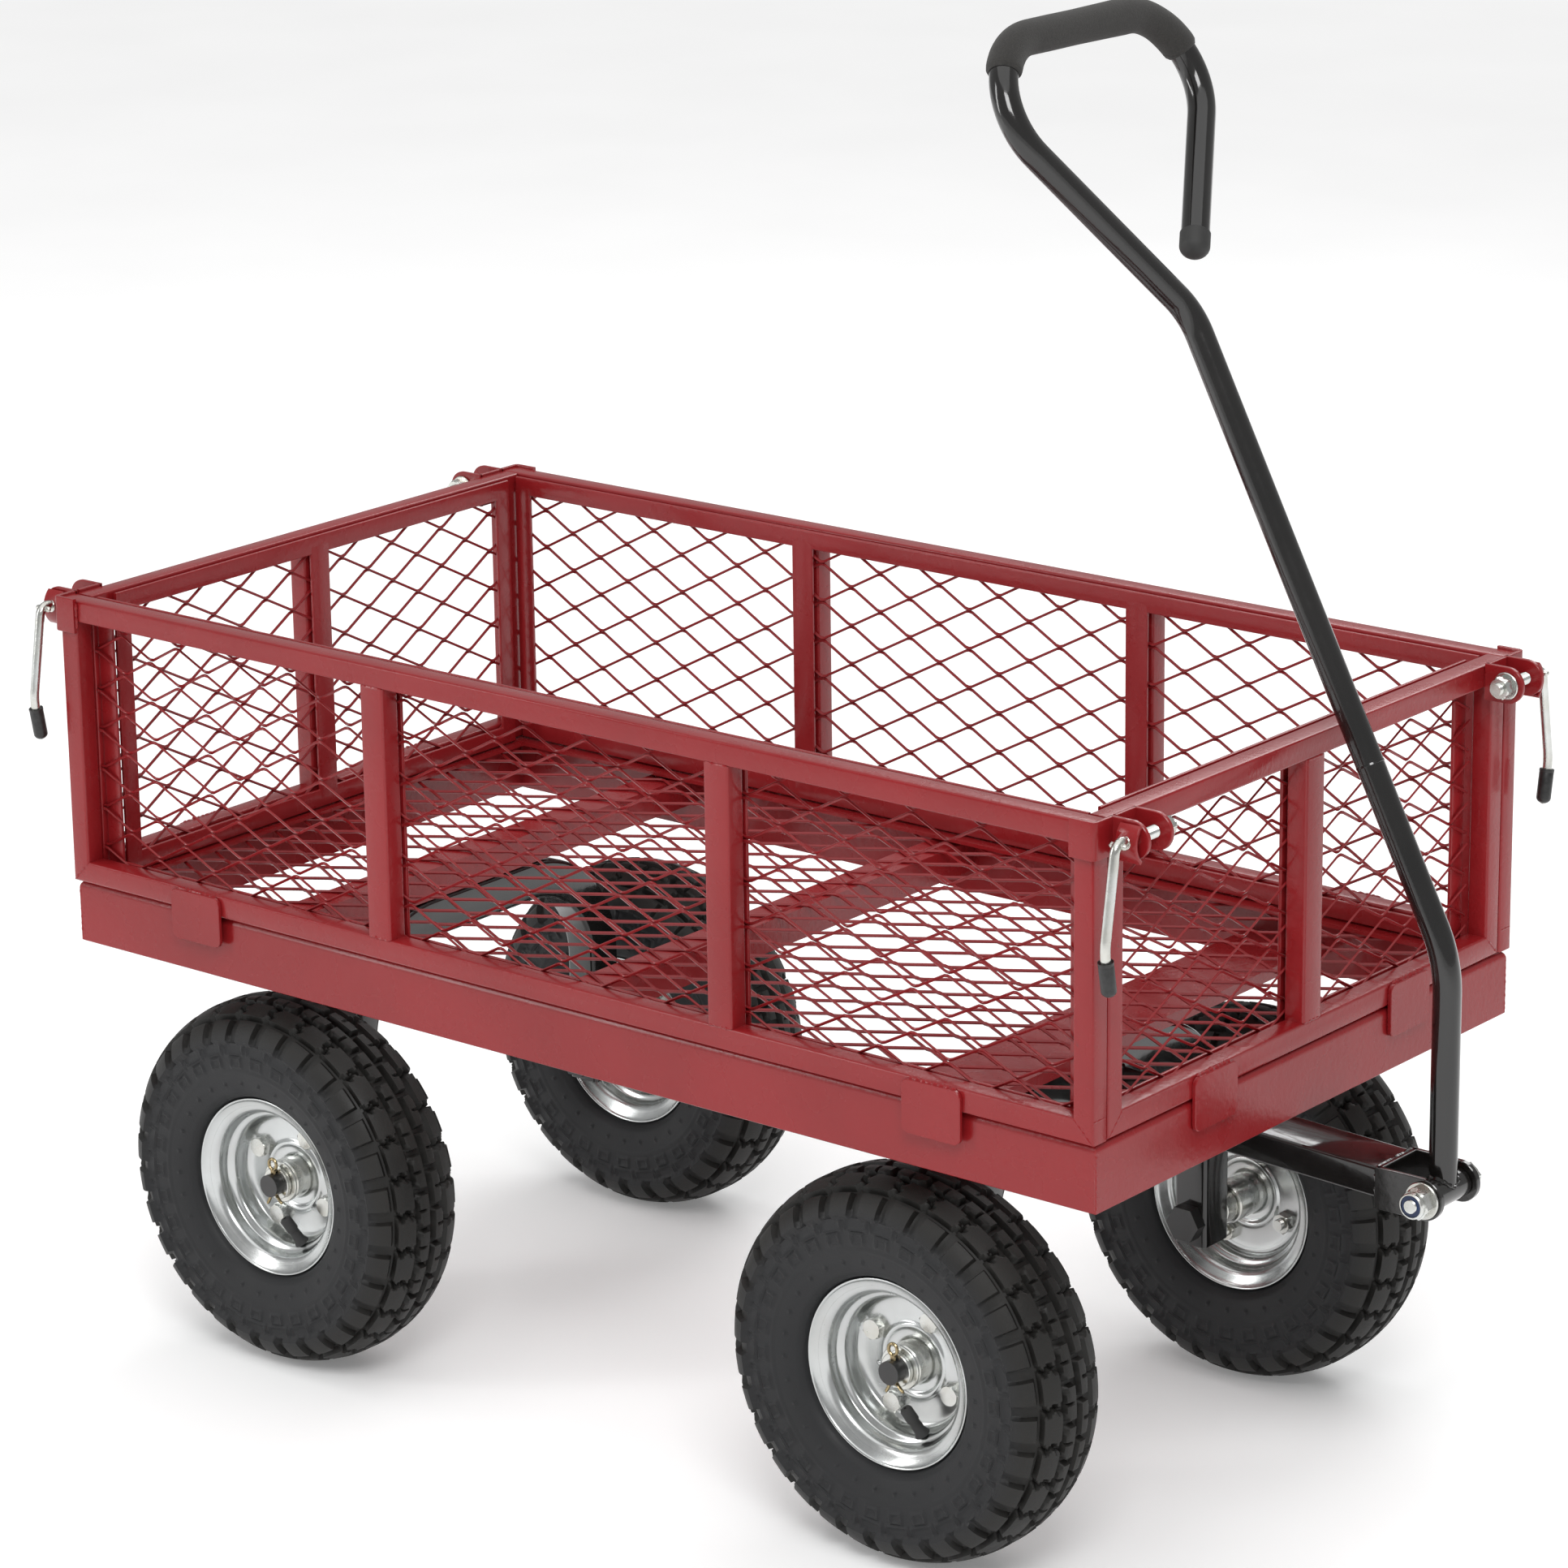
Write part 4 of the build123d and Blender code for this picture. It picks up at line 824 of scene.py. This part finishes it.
def tread_height(x, y):
    """Blocks on (round, across): two staggered centre rows with a slit, wide blocks beside
    them parted by zigzag grooves, and shoulder blocks; each side is turned half a pitch."""
    height = np.zeros(np.broadcast(x, y).shape)
    for side, shift in ((1, 0.0), (-1, 0.5)):
        across = side * y
        centre_x = wrap(x, shift + 0.25)
        centre = block(
            centre_x, across, [(-12.0, 1.3), (12.0, 1.3), (12.2, 9.6), (8, 11.2), (-8, 11.2), (-12.2, 9.6)]
        )
        slit = 1 - 0.6 * step_up(1.2 * MM - np.abs(centre_x), 0.6 * MM) * (across > 5 * MM)
        zigzag = 2.6 * MM * np.arcsin(np.sin(across / (1.15 * MM))) * 2 / pi * (across > 15 * MM) * (
            across < 29 * MM
        )
        beside_x = wrap(x + zigzag, shift + 0.75)
        beside = block(
            beside_x,
            across,
            [(-9, 12.6), (9, 12.6), (12.4, 16.0), (12.2, 27.6), (-12.2, 27.6), (-12.4, 16.0)],
        )
        shoulder_x = wrap(x, shift + 0.75)
        shoulder = block(shoulder_x, across, [(-9.6, 29.2), (9.6, 29.2), (9.9, 46.0), (-9.9, 46.0)], 1.6 * MM)
        height = np.maximum(height, np.maximum(centre * slit, np.maximum(beside, 0.95 * shoulder)))
    return height * BLOCK_HEIGHT


def frame_line(x, out, half_x, half_out):
    """A thin raised rectangle: high where the point lies close to the rectangle's outline."""
    reach = np.maximum(np.abs(x) - half_x, np.abs(out) - half_out)
    return step_up(1.35 * MM - np.abs(reach), 0.8 * MM)


def wall_ribs(x_share, radius):
    """Two rows of thin raised frames below the shoulder blocks, a round line, and vent nubs."""
    x = (x_share - 0.5) * PITCH * radius / TYRE_RADIUS
    frames = np.maximum(
        frame_line(x, radius - 101.0 * MM, 8.4 * MM, 3.4 * MM), frame_line(
            x, radius - 91.4 * MM, 4.6 * MM, 3.0 * MM
        )
    )
    rings = sum(step_up(0.8 * MM - np.abs(radius - at * MM), 0.5 * MM) for at in (68.5, 84.5))
    nub = step_up(1.4 * MM - np.hypot(x, radius - 76 * MM), 0.7 * MM)
    return 1.1 * MM * frames + 0.6 * MM * rings + 1.3 * MM * nub


def tyre_profile():
    """Half the tyre's cross-section from crown to bead, (outward, radius): a superellipse
    of exponent 2.3 for the crown, then an ellipse down to the rim's flange."""
    turn = np.linspace(pi / 2, 0, 46)
    power = 2 / 2.3
    crown = np.stack([38 * np.cos(turn) ** power, 96 + 28.6 * np.sin(turn) ** power], -1)
    drop = np.linspace(0, 1, 24)[1:]
    wall = np.stack([26.2 + 11.8 * np.sqrt(np.clip(1 - drop ** 2.4, 0, 1)), 96 - 32.2 * drop], -1)
    tuck = np.array([(25.4, 60.5), (24.6, 56.5), (20, 54.0), (16, 56.0)])
    return np.vstack([crown, wall, tuck]) * MM


def resample(points, spacing):
    """Even steps along a polyline."""
    run = np.concatenate([[0], np.cumsum(np.linalg.norm(np.diff(points, axis=0), axis=1))])
    at = np.linspace(0, run[-1], int(run[-1] / spacing) + 1)
    return np.stack([np.interp(at, run, points[:, k]) for k in range(points.shape[1])], -1), at


def tyre_shell(centre, side):
    """Offset the turned profile along its normal by the tread's and the ribs' heights."""
    half, arc = resample(tyre_profile(), 1.45 * MM)
    profile = np.vstack([half[::-1] * [-1, 1], half[1:]])
    arc = np.concatenate([-arc[::-1], arc[1:]])
    tangent = unit(np.gradient(profile, axis=0))
    normal = np.stack([-tangent[:, 1], tangent[:, 0]], -1)
    normal = normal * np.sign(np.sum(normal * (profile - [0, 90 * MM]), axis=1))[:, None]
    count = TREAD_PITCHES * AROUND_PER_PITCH
    turn = np.arange(count) / count * 2 * pi
    share = (turn / (2 * pi) * TREAD_PITCHES)[None, :]
    tread = tread_height(share * PITCH, arc[:, None])
    in_wall = (profile[:, 1] < 107.5 * MM)[:, None]
    ribs = wall_ribs((share + np.where(arc > 0, 0.25, 0.75)[:, None]) % 1, profile[:, 1:]) * in_wall
    above_bead = (profile[:, 1] > 66 * MM)[:, None]
    raised = np.maximum(tread, ribs) * above_bead
    out = profile[:, :1] + raised * normal[:, :1]
    radius = np.minimum(profile[:, 1:] + raised * normal[:, 1:], TYRE_RADIUS)
    grid = np.stack([
        centre[0] + radius * np.cos(turn), centre[1] + side * out, centre[2] + radius * np.sin(turn),
    ], -1)
    crown = np.clip((profile[:, 1] - 104 * MM) / (8 * MM), 0, 1)
    return skin(grid, wrap_along=True), np.repeat(crown, count)


# ---------------------------------------------------------------- wheels
# Each wheel is two zinc plated pressings bolted back to back by four hexagon
# bolts, with a hub tube through them and a rubber valve stem in the well.
def rounded(profile, passes=2):
    """Cut every corner of a closed profile twice, a quarter from each end, so it bends smoothly."""
    points = np.asarray(profile, float)
    for _ in range(passes):
        after = np.roll(points, -1, 0)
        points = np.stack([0.75 * points + 0.25 * after, 0.25 * points + 0.75 * after], 1).reshape(-1, 2)
    return points


RIM_FACE = [
    (-1, 14.2), (-1, 20.5), (0.9, 22.4), (0.9, 24.6), (-1, 26.4), (-1, 38.5), (0.4, 43.2), (4.5, 45.0),
    (9.5, 45.2), (12.6, 46.4), (13.6, 49.6), (15.2, 50.8), (20.4, 51.2), (23.4, 53.4), (24.8, 57.4),
    (26.4, 60.8), (27.7, 61.8), (27.9, 63.0), (26.6, 63.3), (24.6, 61.6), (23.2, 58.2), (21.8, 54.8),
    (19.6, 53.2), (13.4, 52.6), (11.4, 50.2), (10.6, 47.6), (3, 46.9),
]
RIM_BACK = [(-out - (7 if radius < 44 else 0), radius) for out, radius in RIM_FACE[::-1]]
RIM_PROFILE = rounded(RIM_FACE + RIM_BACK) * MM
HUB_PROFILE = np.array([
    (-35, 8), (-35, 13.6), (-34.2, 14.5), (11.2, 14.5), (12, 13.7), (12, 12.2), (10.6, 12.0), (10.6, 8),
]) * MM
RIM_ZINC = zinc_plate("rim_zinc_plate", (0.60, 0.62, 0.62), (0.20, 0.28), (0.50, 0.51, 0.50), 13)
VALVE_FOOT = 44.7 * MM


def valve_stem(foot, way):
    """A rubber stem: flared foot, straight neck and a ridged cap, turned about its own line."""
    profile = [
        (0, 1.0),
        (0, 5.2),
        (1.2, 5.0),
        (3.2, 3.9),
        (11.5, 3.4),
        (11.9, 4.2),
        (20.4, 4.1),
        (21.6, 3.4),
        (22, 1.0),
    ]
    return turned(np.array(profile) * MM, foot, way, 24)


for end in ("rear", "front"):
    for side_name, side in (("right", -1), ("left", 1)):
        name = f"{end}_{side_name}"
        body = f"{name}_wheel"
        low, high = node_corners(f"{name}_tyre")
        centre = (low + high) / 2
        out = LEFT * side

        shell, crown = tyre_shell(centre, side)
        tyre = piece(f"{name}_tyre_rubber", [shell], TYRE, body, [f"{name}_tyre"], sharp=48)
        layer = tyre.data.attributes.new("crown", "FLOAT", "POINT")
        layer.data.foreach_set("value", crown)

        shells = [turned(RIM_PROFILE, centre, out, 128)]
        rivet_at = centre + 29 * MM * np.array([cos(radians(-163)), 0, sin(radians(-163))])
        shells.append(round_cap(rivet_at - out * 1.4 * MM, out, 1.9 * MM, 2.4 * MM, 16))
        piece(f"{name}_rim_pressing", shells, RIM_ZINC, body, [f"{name}_rim"], sharp=60)
        piece(
            f"{name}_hub_tube",
            [turned(HUB_PROFILE, centre, out, 64)],
            ZINC,
            body,
            [f"{name}_hub"],
        )

        shells = []
        for k in range(4):
            angle = radians(64 + 90 * k)
            at = centre + 34 * MM * np.array([cos(angle), 0, sin(angle)])
            shells.append(hexagon(at, out, -1 * MM, 4.5 * MM, 7.5 * MM, 0.35 + 0.5 * k))
            shells.append(hexagon(at, -out, 6 * MM, 12 * MM, 7.5 * MM, 0.1 + 0.4 * k))
            shells.append(threaded_rod(at, -out, 6 * MM, 16 * MM, 4 * MM, 1.25 * MM))
        piece(f"{name}_rim_bolt_set", shells, ZINC, body, [f"{name}_rim_bolts"])

        valve_low, valve_high = node_corners(f"{name}_valve")
        valve_middle = (valve_low + valve_high) / 2
        radial = unit((valve_middle - centre) * [1, 0, 1])
        foot = centre + radial * VALVE_FOOT + LEFT * (valve_middle[1] - centre[1])
        piece(
            f"{name}_valve_stem",
            [valve_stem(foot, 0.45 * out - radial)],
            RUBBER,
            body,
            [f"{name}_valve"],
        )


# ---------------------------------------------------------------- rack panels
# Four panels of square tube stand on the deck. Expanded metal is sandwiched
# between the tubes and flat backing strips, and every joint is welded and coated red.
PANEL_BAR = 15 * MM
DIVIDER = 20 * MM
DIVIDER_X = 145
PANEL_PITCH = (52 * MM, 28 * MM)
PANEL_STRAND = (2.3 * MM, 1.4 * MM)
PANEL_TILT = 0.62
STRIP = 2.5 * MM


def panel_pieces(name, dividers, out, along, seed):
    """Frame, mesh and backing strips of one panel, all in (along, up, out) from its middle."""
    low, high = node_corners(f"{name}_frame")
    middle = (low + high) / 2
    size = high - low
    length = abs(size @ along)
    height = size[2]
    face = middle + out * PANEL_BAR / 2
    half = length / 2 - PANEL_BAR / 2
    rise = height / 2 - PANEL_BAR / 2
    path = rectangle_path(half, rise, middle, along, UP)
    shells = [carry(path, bar_section(PANEL_BAR, PANEL_BAR, 1.8 * MM), out, closed=True)]
    inner = rise - PANEL_BAR / 2
    edge = 0.2 * MM
    for k, (sx, sz) in enumerate([(-1, -1), (1, -1), (1, 1), (-1, 1)]):
        corner = face + along * sx * half + UP * sz * rise
        tip = (along * sx + UP * sz) * PANEL_BAR / 2
        seam = [corner - tip * 0.95 - out * 0.5 * MM, corner + tip * 0.9 - out * 0.5 * MM]
        shells.append(bead(seam, 1.0 * MM, seed + k))
        side_corner = corner + along * sx * (PANEL_BAR / 2 - 0.4 * MM) - out * PANEL_BAR * 0.05
        weld_z = -sz * UP * PANEL_BAR / 2
        seam = [side_corner + weld_z, side_corner + weld_z - out * PANEL_BAR * 0.85]
        shells.append(bead(seam, 0.9 * MM, seed + 10 + k))
    for k, at in enumerate(dividers):
        foot = middle + along * at * MM
        shells.append(
            carry([foot - UP * inner, foot + UP * inner], bar_section(DIVIDER, PANEL_BAR, 1.8 * MM), out)
        )
        for sz in (-1, 1):
            weld = foot + UP * sz * (inner - edge) + out * (PANEL_BAR / 2 - 0.8 * MM)
            reach = along * DIVIDER * 0.46
            shells.append(bead([weld - reach, weld + reach], 1.25 * MM, seed + 20 + 2 * k + (sz > 0)))
    piece(f"{name}_welded_frame", shells, RED, "rack", [f"{name}_frame"])

    mesh_low, mesh_high = node_corners(f"{name}_mesh")
    mesh_size = mesh_high - mesh_low
    wide = abs(mesh_size @ along)
    sheet_middle = middle - out * (PANEL_BAR / 2 + 1.6 * MM)
    strands = expanded_metal(wide - 1 * MM, mesh_size[2] - 2 * MM, *PANEL_PITCH, *PANEL_STRAND, PANEL_TILT)
    strands = stand_up(strands, sheet_middle, along, UP, out)
    piece(f"{name}_expanded_metal", strands, RED_STRAND, "rack", [f"{name}_mesh"], sharp=50)

    back = middle - out * (PANEL_BAR / 2 + 3.4 * MM + STRIP / 2)
    inset = wide / 2 - 8 * MM
    strips = []
    for at, width in [(-inset, 14 * MM), (inset, 14 * MM)] + [(d * MM, 18 * MM) for d in dividers]:
        foot = back + along * at
        ends = [foot - UP * (rise - 1 * MM), foot + UP * (rise - 1 * MM)]
        strips.append(carry(ends, bar_section(width, STRIP, 0.7 * MM), out))
    for sz in (-1, 1):
        line = back + UP * sz * rise + out * STRIP * 0.02
        ends = [line - along * (inset + 6 * MM), line + along * (inset + 6 * MM)]
        strips.append(carry(ends, bar_section(13 * MM, STRIP, 0.7 * MM), out))
    piece(f"{name}_backing_strips", strips, RED, "rack")


for side_name, side in (("right", -1), ("left", 1)):
    panel_pieces(f"{side_name}_side", (-DIVIDER_X, DIVIDER_X), LEFT * side, AHEAD, 100 + side * 40)
for end_name, end in (("rear", -1), ("front", 1)):
    panel_pieces(f"{end_name}_end", (0,), AHEAD * end, LEFT, 300 + end * 40)


# ---------------------------------------------------------------- hanging tabs
# Flat rounded tabs are welded outside the panels' lower rails and reach down
# over the deck's rim, which keeps the rack from sliding off.
TAB_SHEET = 3 * MM
TAB_WIDTH = 45 * MM
TAB_CORNER = 5 * MM
SIDE_TAB_X = 313 * MM
END_TAB_Y = 108 * MM
tab_low, tab_high = node_corners("hanging_tabs")
tab_half_height = (tab_high[2] - tab_low[2]) / 2


shells = []
for side in (-1, 1):
    for at in (-1, 1):
        seats = [
            (
                np.array([tray_x + at * SIDE_TAB_X, side * (tab_high[1] - TAB_SHEET / 2), 0]),
                AHEAD,
                LEFT * side,
            ),
            (
                np.array([tray_x + side * (tab_high[0] - tab_low[0] - TAB_SHEET) / 2, at * END_TAB_Y, 0]),
                LEFT,
                AHEAD * side,
            ),
        ]
        for k, (seat, along, out) in enumerate(seats):
            seat = seat + UP * (tab_low[2] + tab_high[2]) / 2
            outline = bar_section(TAB_WIDTH, 2 * tab_half_height, TAB_CORNER, 7)
            shells.append(plate(outline, TAB_SHEET, 0.45 * MM, seat, along, UP, out))
            top = seat + UP * tab_half_height - out * TAB_SHEET * 0.4
            shells.append(
                bead([top - along * 18 * MM, top + along * 18 * MM], 1.7 * MM, 400 + 7 * side + 3 * at + k)
            )
piece("welded_hanging_tabs", shells, RED, "rack", ["hanging_tabs"])


# ---------------------------------------------------------------- corner latches
# At each corner a bolt crosses two red ears. A cam lever of zinc wire with a
# black vinyl tip pulls the ears together through a curved red saddle.
EAR_SHEET = 3 * MM
EAR_RADIUS = 12 * MM
EAR_REACH = 17 * MM
SIDE_EAR_Y = 216.5 * MM
END_EAR_Y = 193.5 * MM
LATCH_Z = 514.5 * MM
CAM_PIN_Y = 232 * MM
SADDLE_Y = 209.5 * MM
SADDLE_BOW = 14.4 * MM
SIDE_Y = 232.7 * MM
END_X = 432.5 * MM
CORNERS = [(f"{end_name}_{side_name}", end, side) for end_name, end in (("rear", -1), ("front", 1))
           for side_name, side in (("right", -1), ("left", 1))]


def bent_strip(path):
    """A flat strip on edge, as tall as the ear, carried round the post's corner with tight bends."""
    return carry(rounded_path(path, 2.2 * MM, 5), bar_section(EAR_SHEET, 2 * EAR_RADIUS, 0.6 * MM), UP)


ears, bolts, saddles = [], [], []
for name, end, side in CORNERS:
    out = LEFT * side
    forward = AHEAD * end
    face_x = tray_x + end * (END_X + EAR_SHEET / 2)
    ear_x = tray_x + end * END_X
    for ear_y in (SIDE_EAR_Y, END_EAR_Y):
        seat = np.array([ear_x, side * ear_y, LATCH_Z])
        ears.append(plate(ear_outline(EAR_REACH, EAR_RADIUS), EAR_SHEET, 0.5 * MM, seat, forward, UP, out))
    wrap_path = [
        (face_x, side * SIDE_EAR_Y, LATCH_Z),
        (face_x, side * (SIDE_Y + EAR_SHEET / 2), LATCH_Z),
        (tray_x + end * (END_X - 16 * MM), side * (SIDE_Y + EAR_SHEET / 2), LATCH_Z),
    ]
    ears.append(bent_strip(wrap_path))
    flat_path = [(face_x, side * END_EAR_Y, LATCH_Z), (face_x, side * (SIDE_EAR_Y - 2.8 * MM), LATCH_Z)]
    ears.append(carry(flat_path, bar_section(EAR_SHEET, 2 * EAR_RADIUS, 0.6 * MM), UP))
    weld_x = tray_x + end * (END_X - 16.4 * MM)
    weld_y = side * (SIDE_Y + 0.8 * MM)
    seam = [(weld_x, weld_y, LATCH_Z - 9 * MM), (weld_x, weld_y, LATCH_Z + 9 * MM)]
    ears.append(bead(seam, 1.3 * MM, 520 + end + 3 * side))

    line = np.array([tray_x + end * (END_X + EAR_REACH), 0, LATCH_Z])
    bolts.append(threaded_rod(line, out, 178 * MM, 226 * MM, 4 * MM, 1.25 * MM))
    bolts.append(washer(line, out, 190 * MM, 192 * MM, 9 * MM, 4.2 * MM))
    bolts.append(hexagon(line, -out, -190 * MM, -182 * MM, 7.5 * MM, 0.3))
    pin = line + out * CAM_PIN_Y
    bolts.append(wire([pin - AHEAD * 4.6 * MM, pin, pin + AHEAD * 4.6 * MM], 2.0 * MM, 14))
    bow = np.linspace(-0.86, 0.86, 17)[:, None]
    saddle_line = line + out * (SADDLE_Y + SADDLE_BOW * np.cos(bow)) + UP * (
        SADDLE_BOW * np.sin(bow) - 1.5 * MM
    )
    saddles.append(carry(saddle_line, bar_section(2.6 * MM, 15 * MM, 0.6 * MM), AHEAD))
piece("corner_latch_ears", ears, RED, "rack", ["corner_ears"])
piece("latch_bolts_and_nuts", bolts, ZINC, "rack", ["clamp_bolts"])
piece("latch_saddles", saddles, RED, "rack", ["clamp_saddles"])


def vinyl(name):
    """Dipped black vinyl: glossy, slightly wavy, with pale dust."""
    material, nodes, links, shader, place = new_material(name)
    dust = noise(nodes, links, place, 250, 6, 0.65)
    tint(nodes, links, shader, dust, [(0.35, (0.010, 0.010, 0.010)), (0.75, (0.034, 0.034, 0.034))])
    roughen(nodes, links, shader, dust, 0.28, 0.45)
    bump(nodes, links, shader, dust.outputs["Fac"], 0.0003, 0.35)
    return material


VINYL = vinyl("dipped_vinyl")


for name, end, side in CORNERS:
    out = LEFT * side
    pin = np.array([tray_x + end * (END_X + EAR_REACH), side * CAM_PIN_Y, LATCH_Z])
    hook = pin - out * 5.6 * MM + UP * 1.5 * MM
    brow = pin + out * 2.5 * MM + UP * 1.5 * MM
    knee = pin + out * 13 * MM - UP * 62 * MM
    stop = pin + out * 8.5 * MM - UP * 87.5 * MM
    shank = (brow + knee) / 2
    bent_head = rounded_path([hook, brow, shank], 7 * MM, 12)
    rod = np.vstack([bent_head, rounded_path([shank, knee, stop], 40 * MM, 18)[1:]])
    shells = [wire(rod, 3.2 * MM, 16)]
    body = f"{name}_latch"
    piece(f"{name}_lever_rod", shells, ZINC, body, [f"{name}_lever"])
    way = unit(rod[-1] - rod[-2])
    sleeve = round_cap(rod[-1] - way * 20 * MM, way, 4.8 * MM, 22.8 * MM, 24)
    rim_ring = turned(
        np.array([(0, 3.3), (0, 4.9), (1.4, 5.0), (2.2, 4.7), (2.2, 3.3)]) * MM,
        rod[-1] - way * 20 * MM,
        way,
        24,
    )
    piece(f"{name}_vinyl_tip", [sleeve, rim_ring], VINYL, body, [f"{name}_lever_tip"])


# ---------------------------------------------------------------- studio
# A wide sheet of matte white paper makes the floor. Broad soft boxes and an even
# overhead diffuser light it, and the camera stands off the right front corner.
def studio_paper(name):
    """Matte white paper with a barely visible mottle."""
    material, nodes, links, shader, place = new_material(name)
    mottle = noise(nodes, links, place, 3, 4)
    tint(nodes, links, shader, mottle, [(0.3, (0.90, 0.90, 0.90)), (0.7, (0.93, 0.93, 0.93))])
    shader.inputs["Roughness"].default_value = 0.85
    shader.inputs["Specular IOR Level"].default_value = 0.2
    shader.inputs["Emission Color"].default_value = (1.0, 1.0, 1.0, 1)
    shader.inputs["Emission Strength"].default_value = 0.16
    return material


floor_half = 40.0
floor_mesh = bpy.data.meshes.new("studio_floor")
floor_corners = rectangle_path(floor_half, floor_half, (0, 0, 0), AHEAD, LEFT)
floor_mesh.from_pydata(floor_corners.tolist(), [], [(0, 1, 2, 3)])
floor_mesh.materials.append(studio_paper("studio_paper"))
floor = bpy.data.objects.new("studio_floor", floor_mesh)
bpy.context.scene.collection.objects.link(floor)

world = bpy.data.worlds.new("studio_world")
bpy.context.scene.world = world
world.use_nodes = True
world.node_tree.nodes["Background"].inputs["Color"].default_value = (1.0, 1.0, 1.0, 1)
world.node_tree.nodes["Background"].inputs["Strength"].default_value = 0.42


def soft_box(name, at, aim, width, height, power):
    """A rectangular soft light at a place, turned to shine on its aim."""
    light = bpy.data.lights.new(name, "AREA")
    light.shape = "RECTANGLE"
    light.size = width
    light.size_y = height
    light.energy = power
    made = bpy.data.objects.new(name, light)
    made.location = at
    made.rotation_euler = (Vector(aim) - Vector(at)).to_track_quat("-Z", "Y").to_euler()
    bpy.context.scene.collection.objects.link(made)


soft_box("key_box", (1.9, -2.1, 3.0), (0, 0, 0.3), 1.5, 1.2, 55)
soft_box("side_strip", (-2.2, -2.6, 1.6), (0, 0, 0.35), 0.5, 2.2, 26)
soft_box("back_box", (-0.6, 2.6, 2.4), (0, 0, 0.3), 2.4, 0.9, 30)
sky = bpy.data.lights.new("overhead_diffuser", "SUN")
sky.energy = 1.15
sky.angle = radians(80)
overhead = bpy.data.objects.new("overhead_diffuser", sky)
bpy.context.scene.collection.objects.link(overhead)
bpy.context.scene.view_settings.view_transform = "Standard"

CAMERA_PLACE = (2.1942, -2.7203, 1.4818)
view_turn, view_drop, view_roll = radians(39.295), radians(16.866), radians(-0.784)
look = Vector((-sin(view_turn) * cos(view_drop), cos(view_turn) * cos(view_drop), -sin(view_drop)))
level = Vector((cos(view_turn), sin(view_turn), 0))
rise = Vector((-sin(view_turn) * sin(view_drop), cos(view_turn) * sin(view_drop), cos(view_drop)))
across = level * cos(view_roll) + rise * sin(view_roll)
upright = rise * cos(view_roll) - level * sin(view_roll)
lens = bpy.data.cameras.new("studio_camera")
lens.lens = 126.6
lens.sensor_width = 36.0
lens.clip_end = 120
camera = bpy.data.objects.new("studio_camera", lens)
turning = Matrix((across, upright, -look)).transposed().to_4x4()
camera.matrix_world = Matrix.Translation(CAMERA_PLACE) @ turning
bpy.context.scene.collection.objects.link(camera)
bpy.context.scene.camera = camera
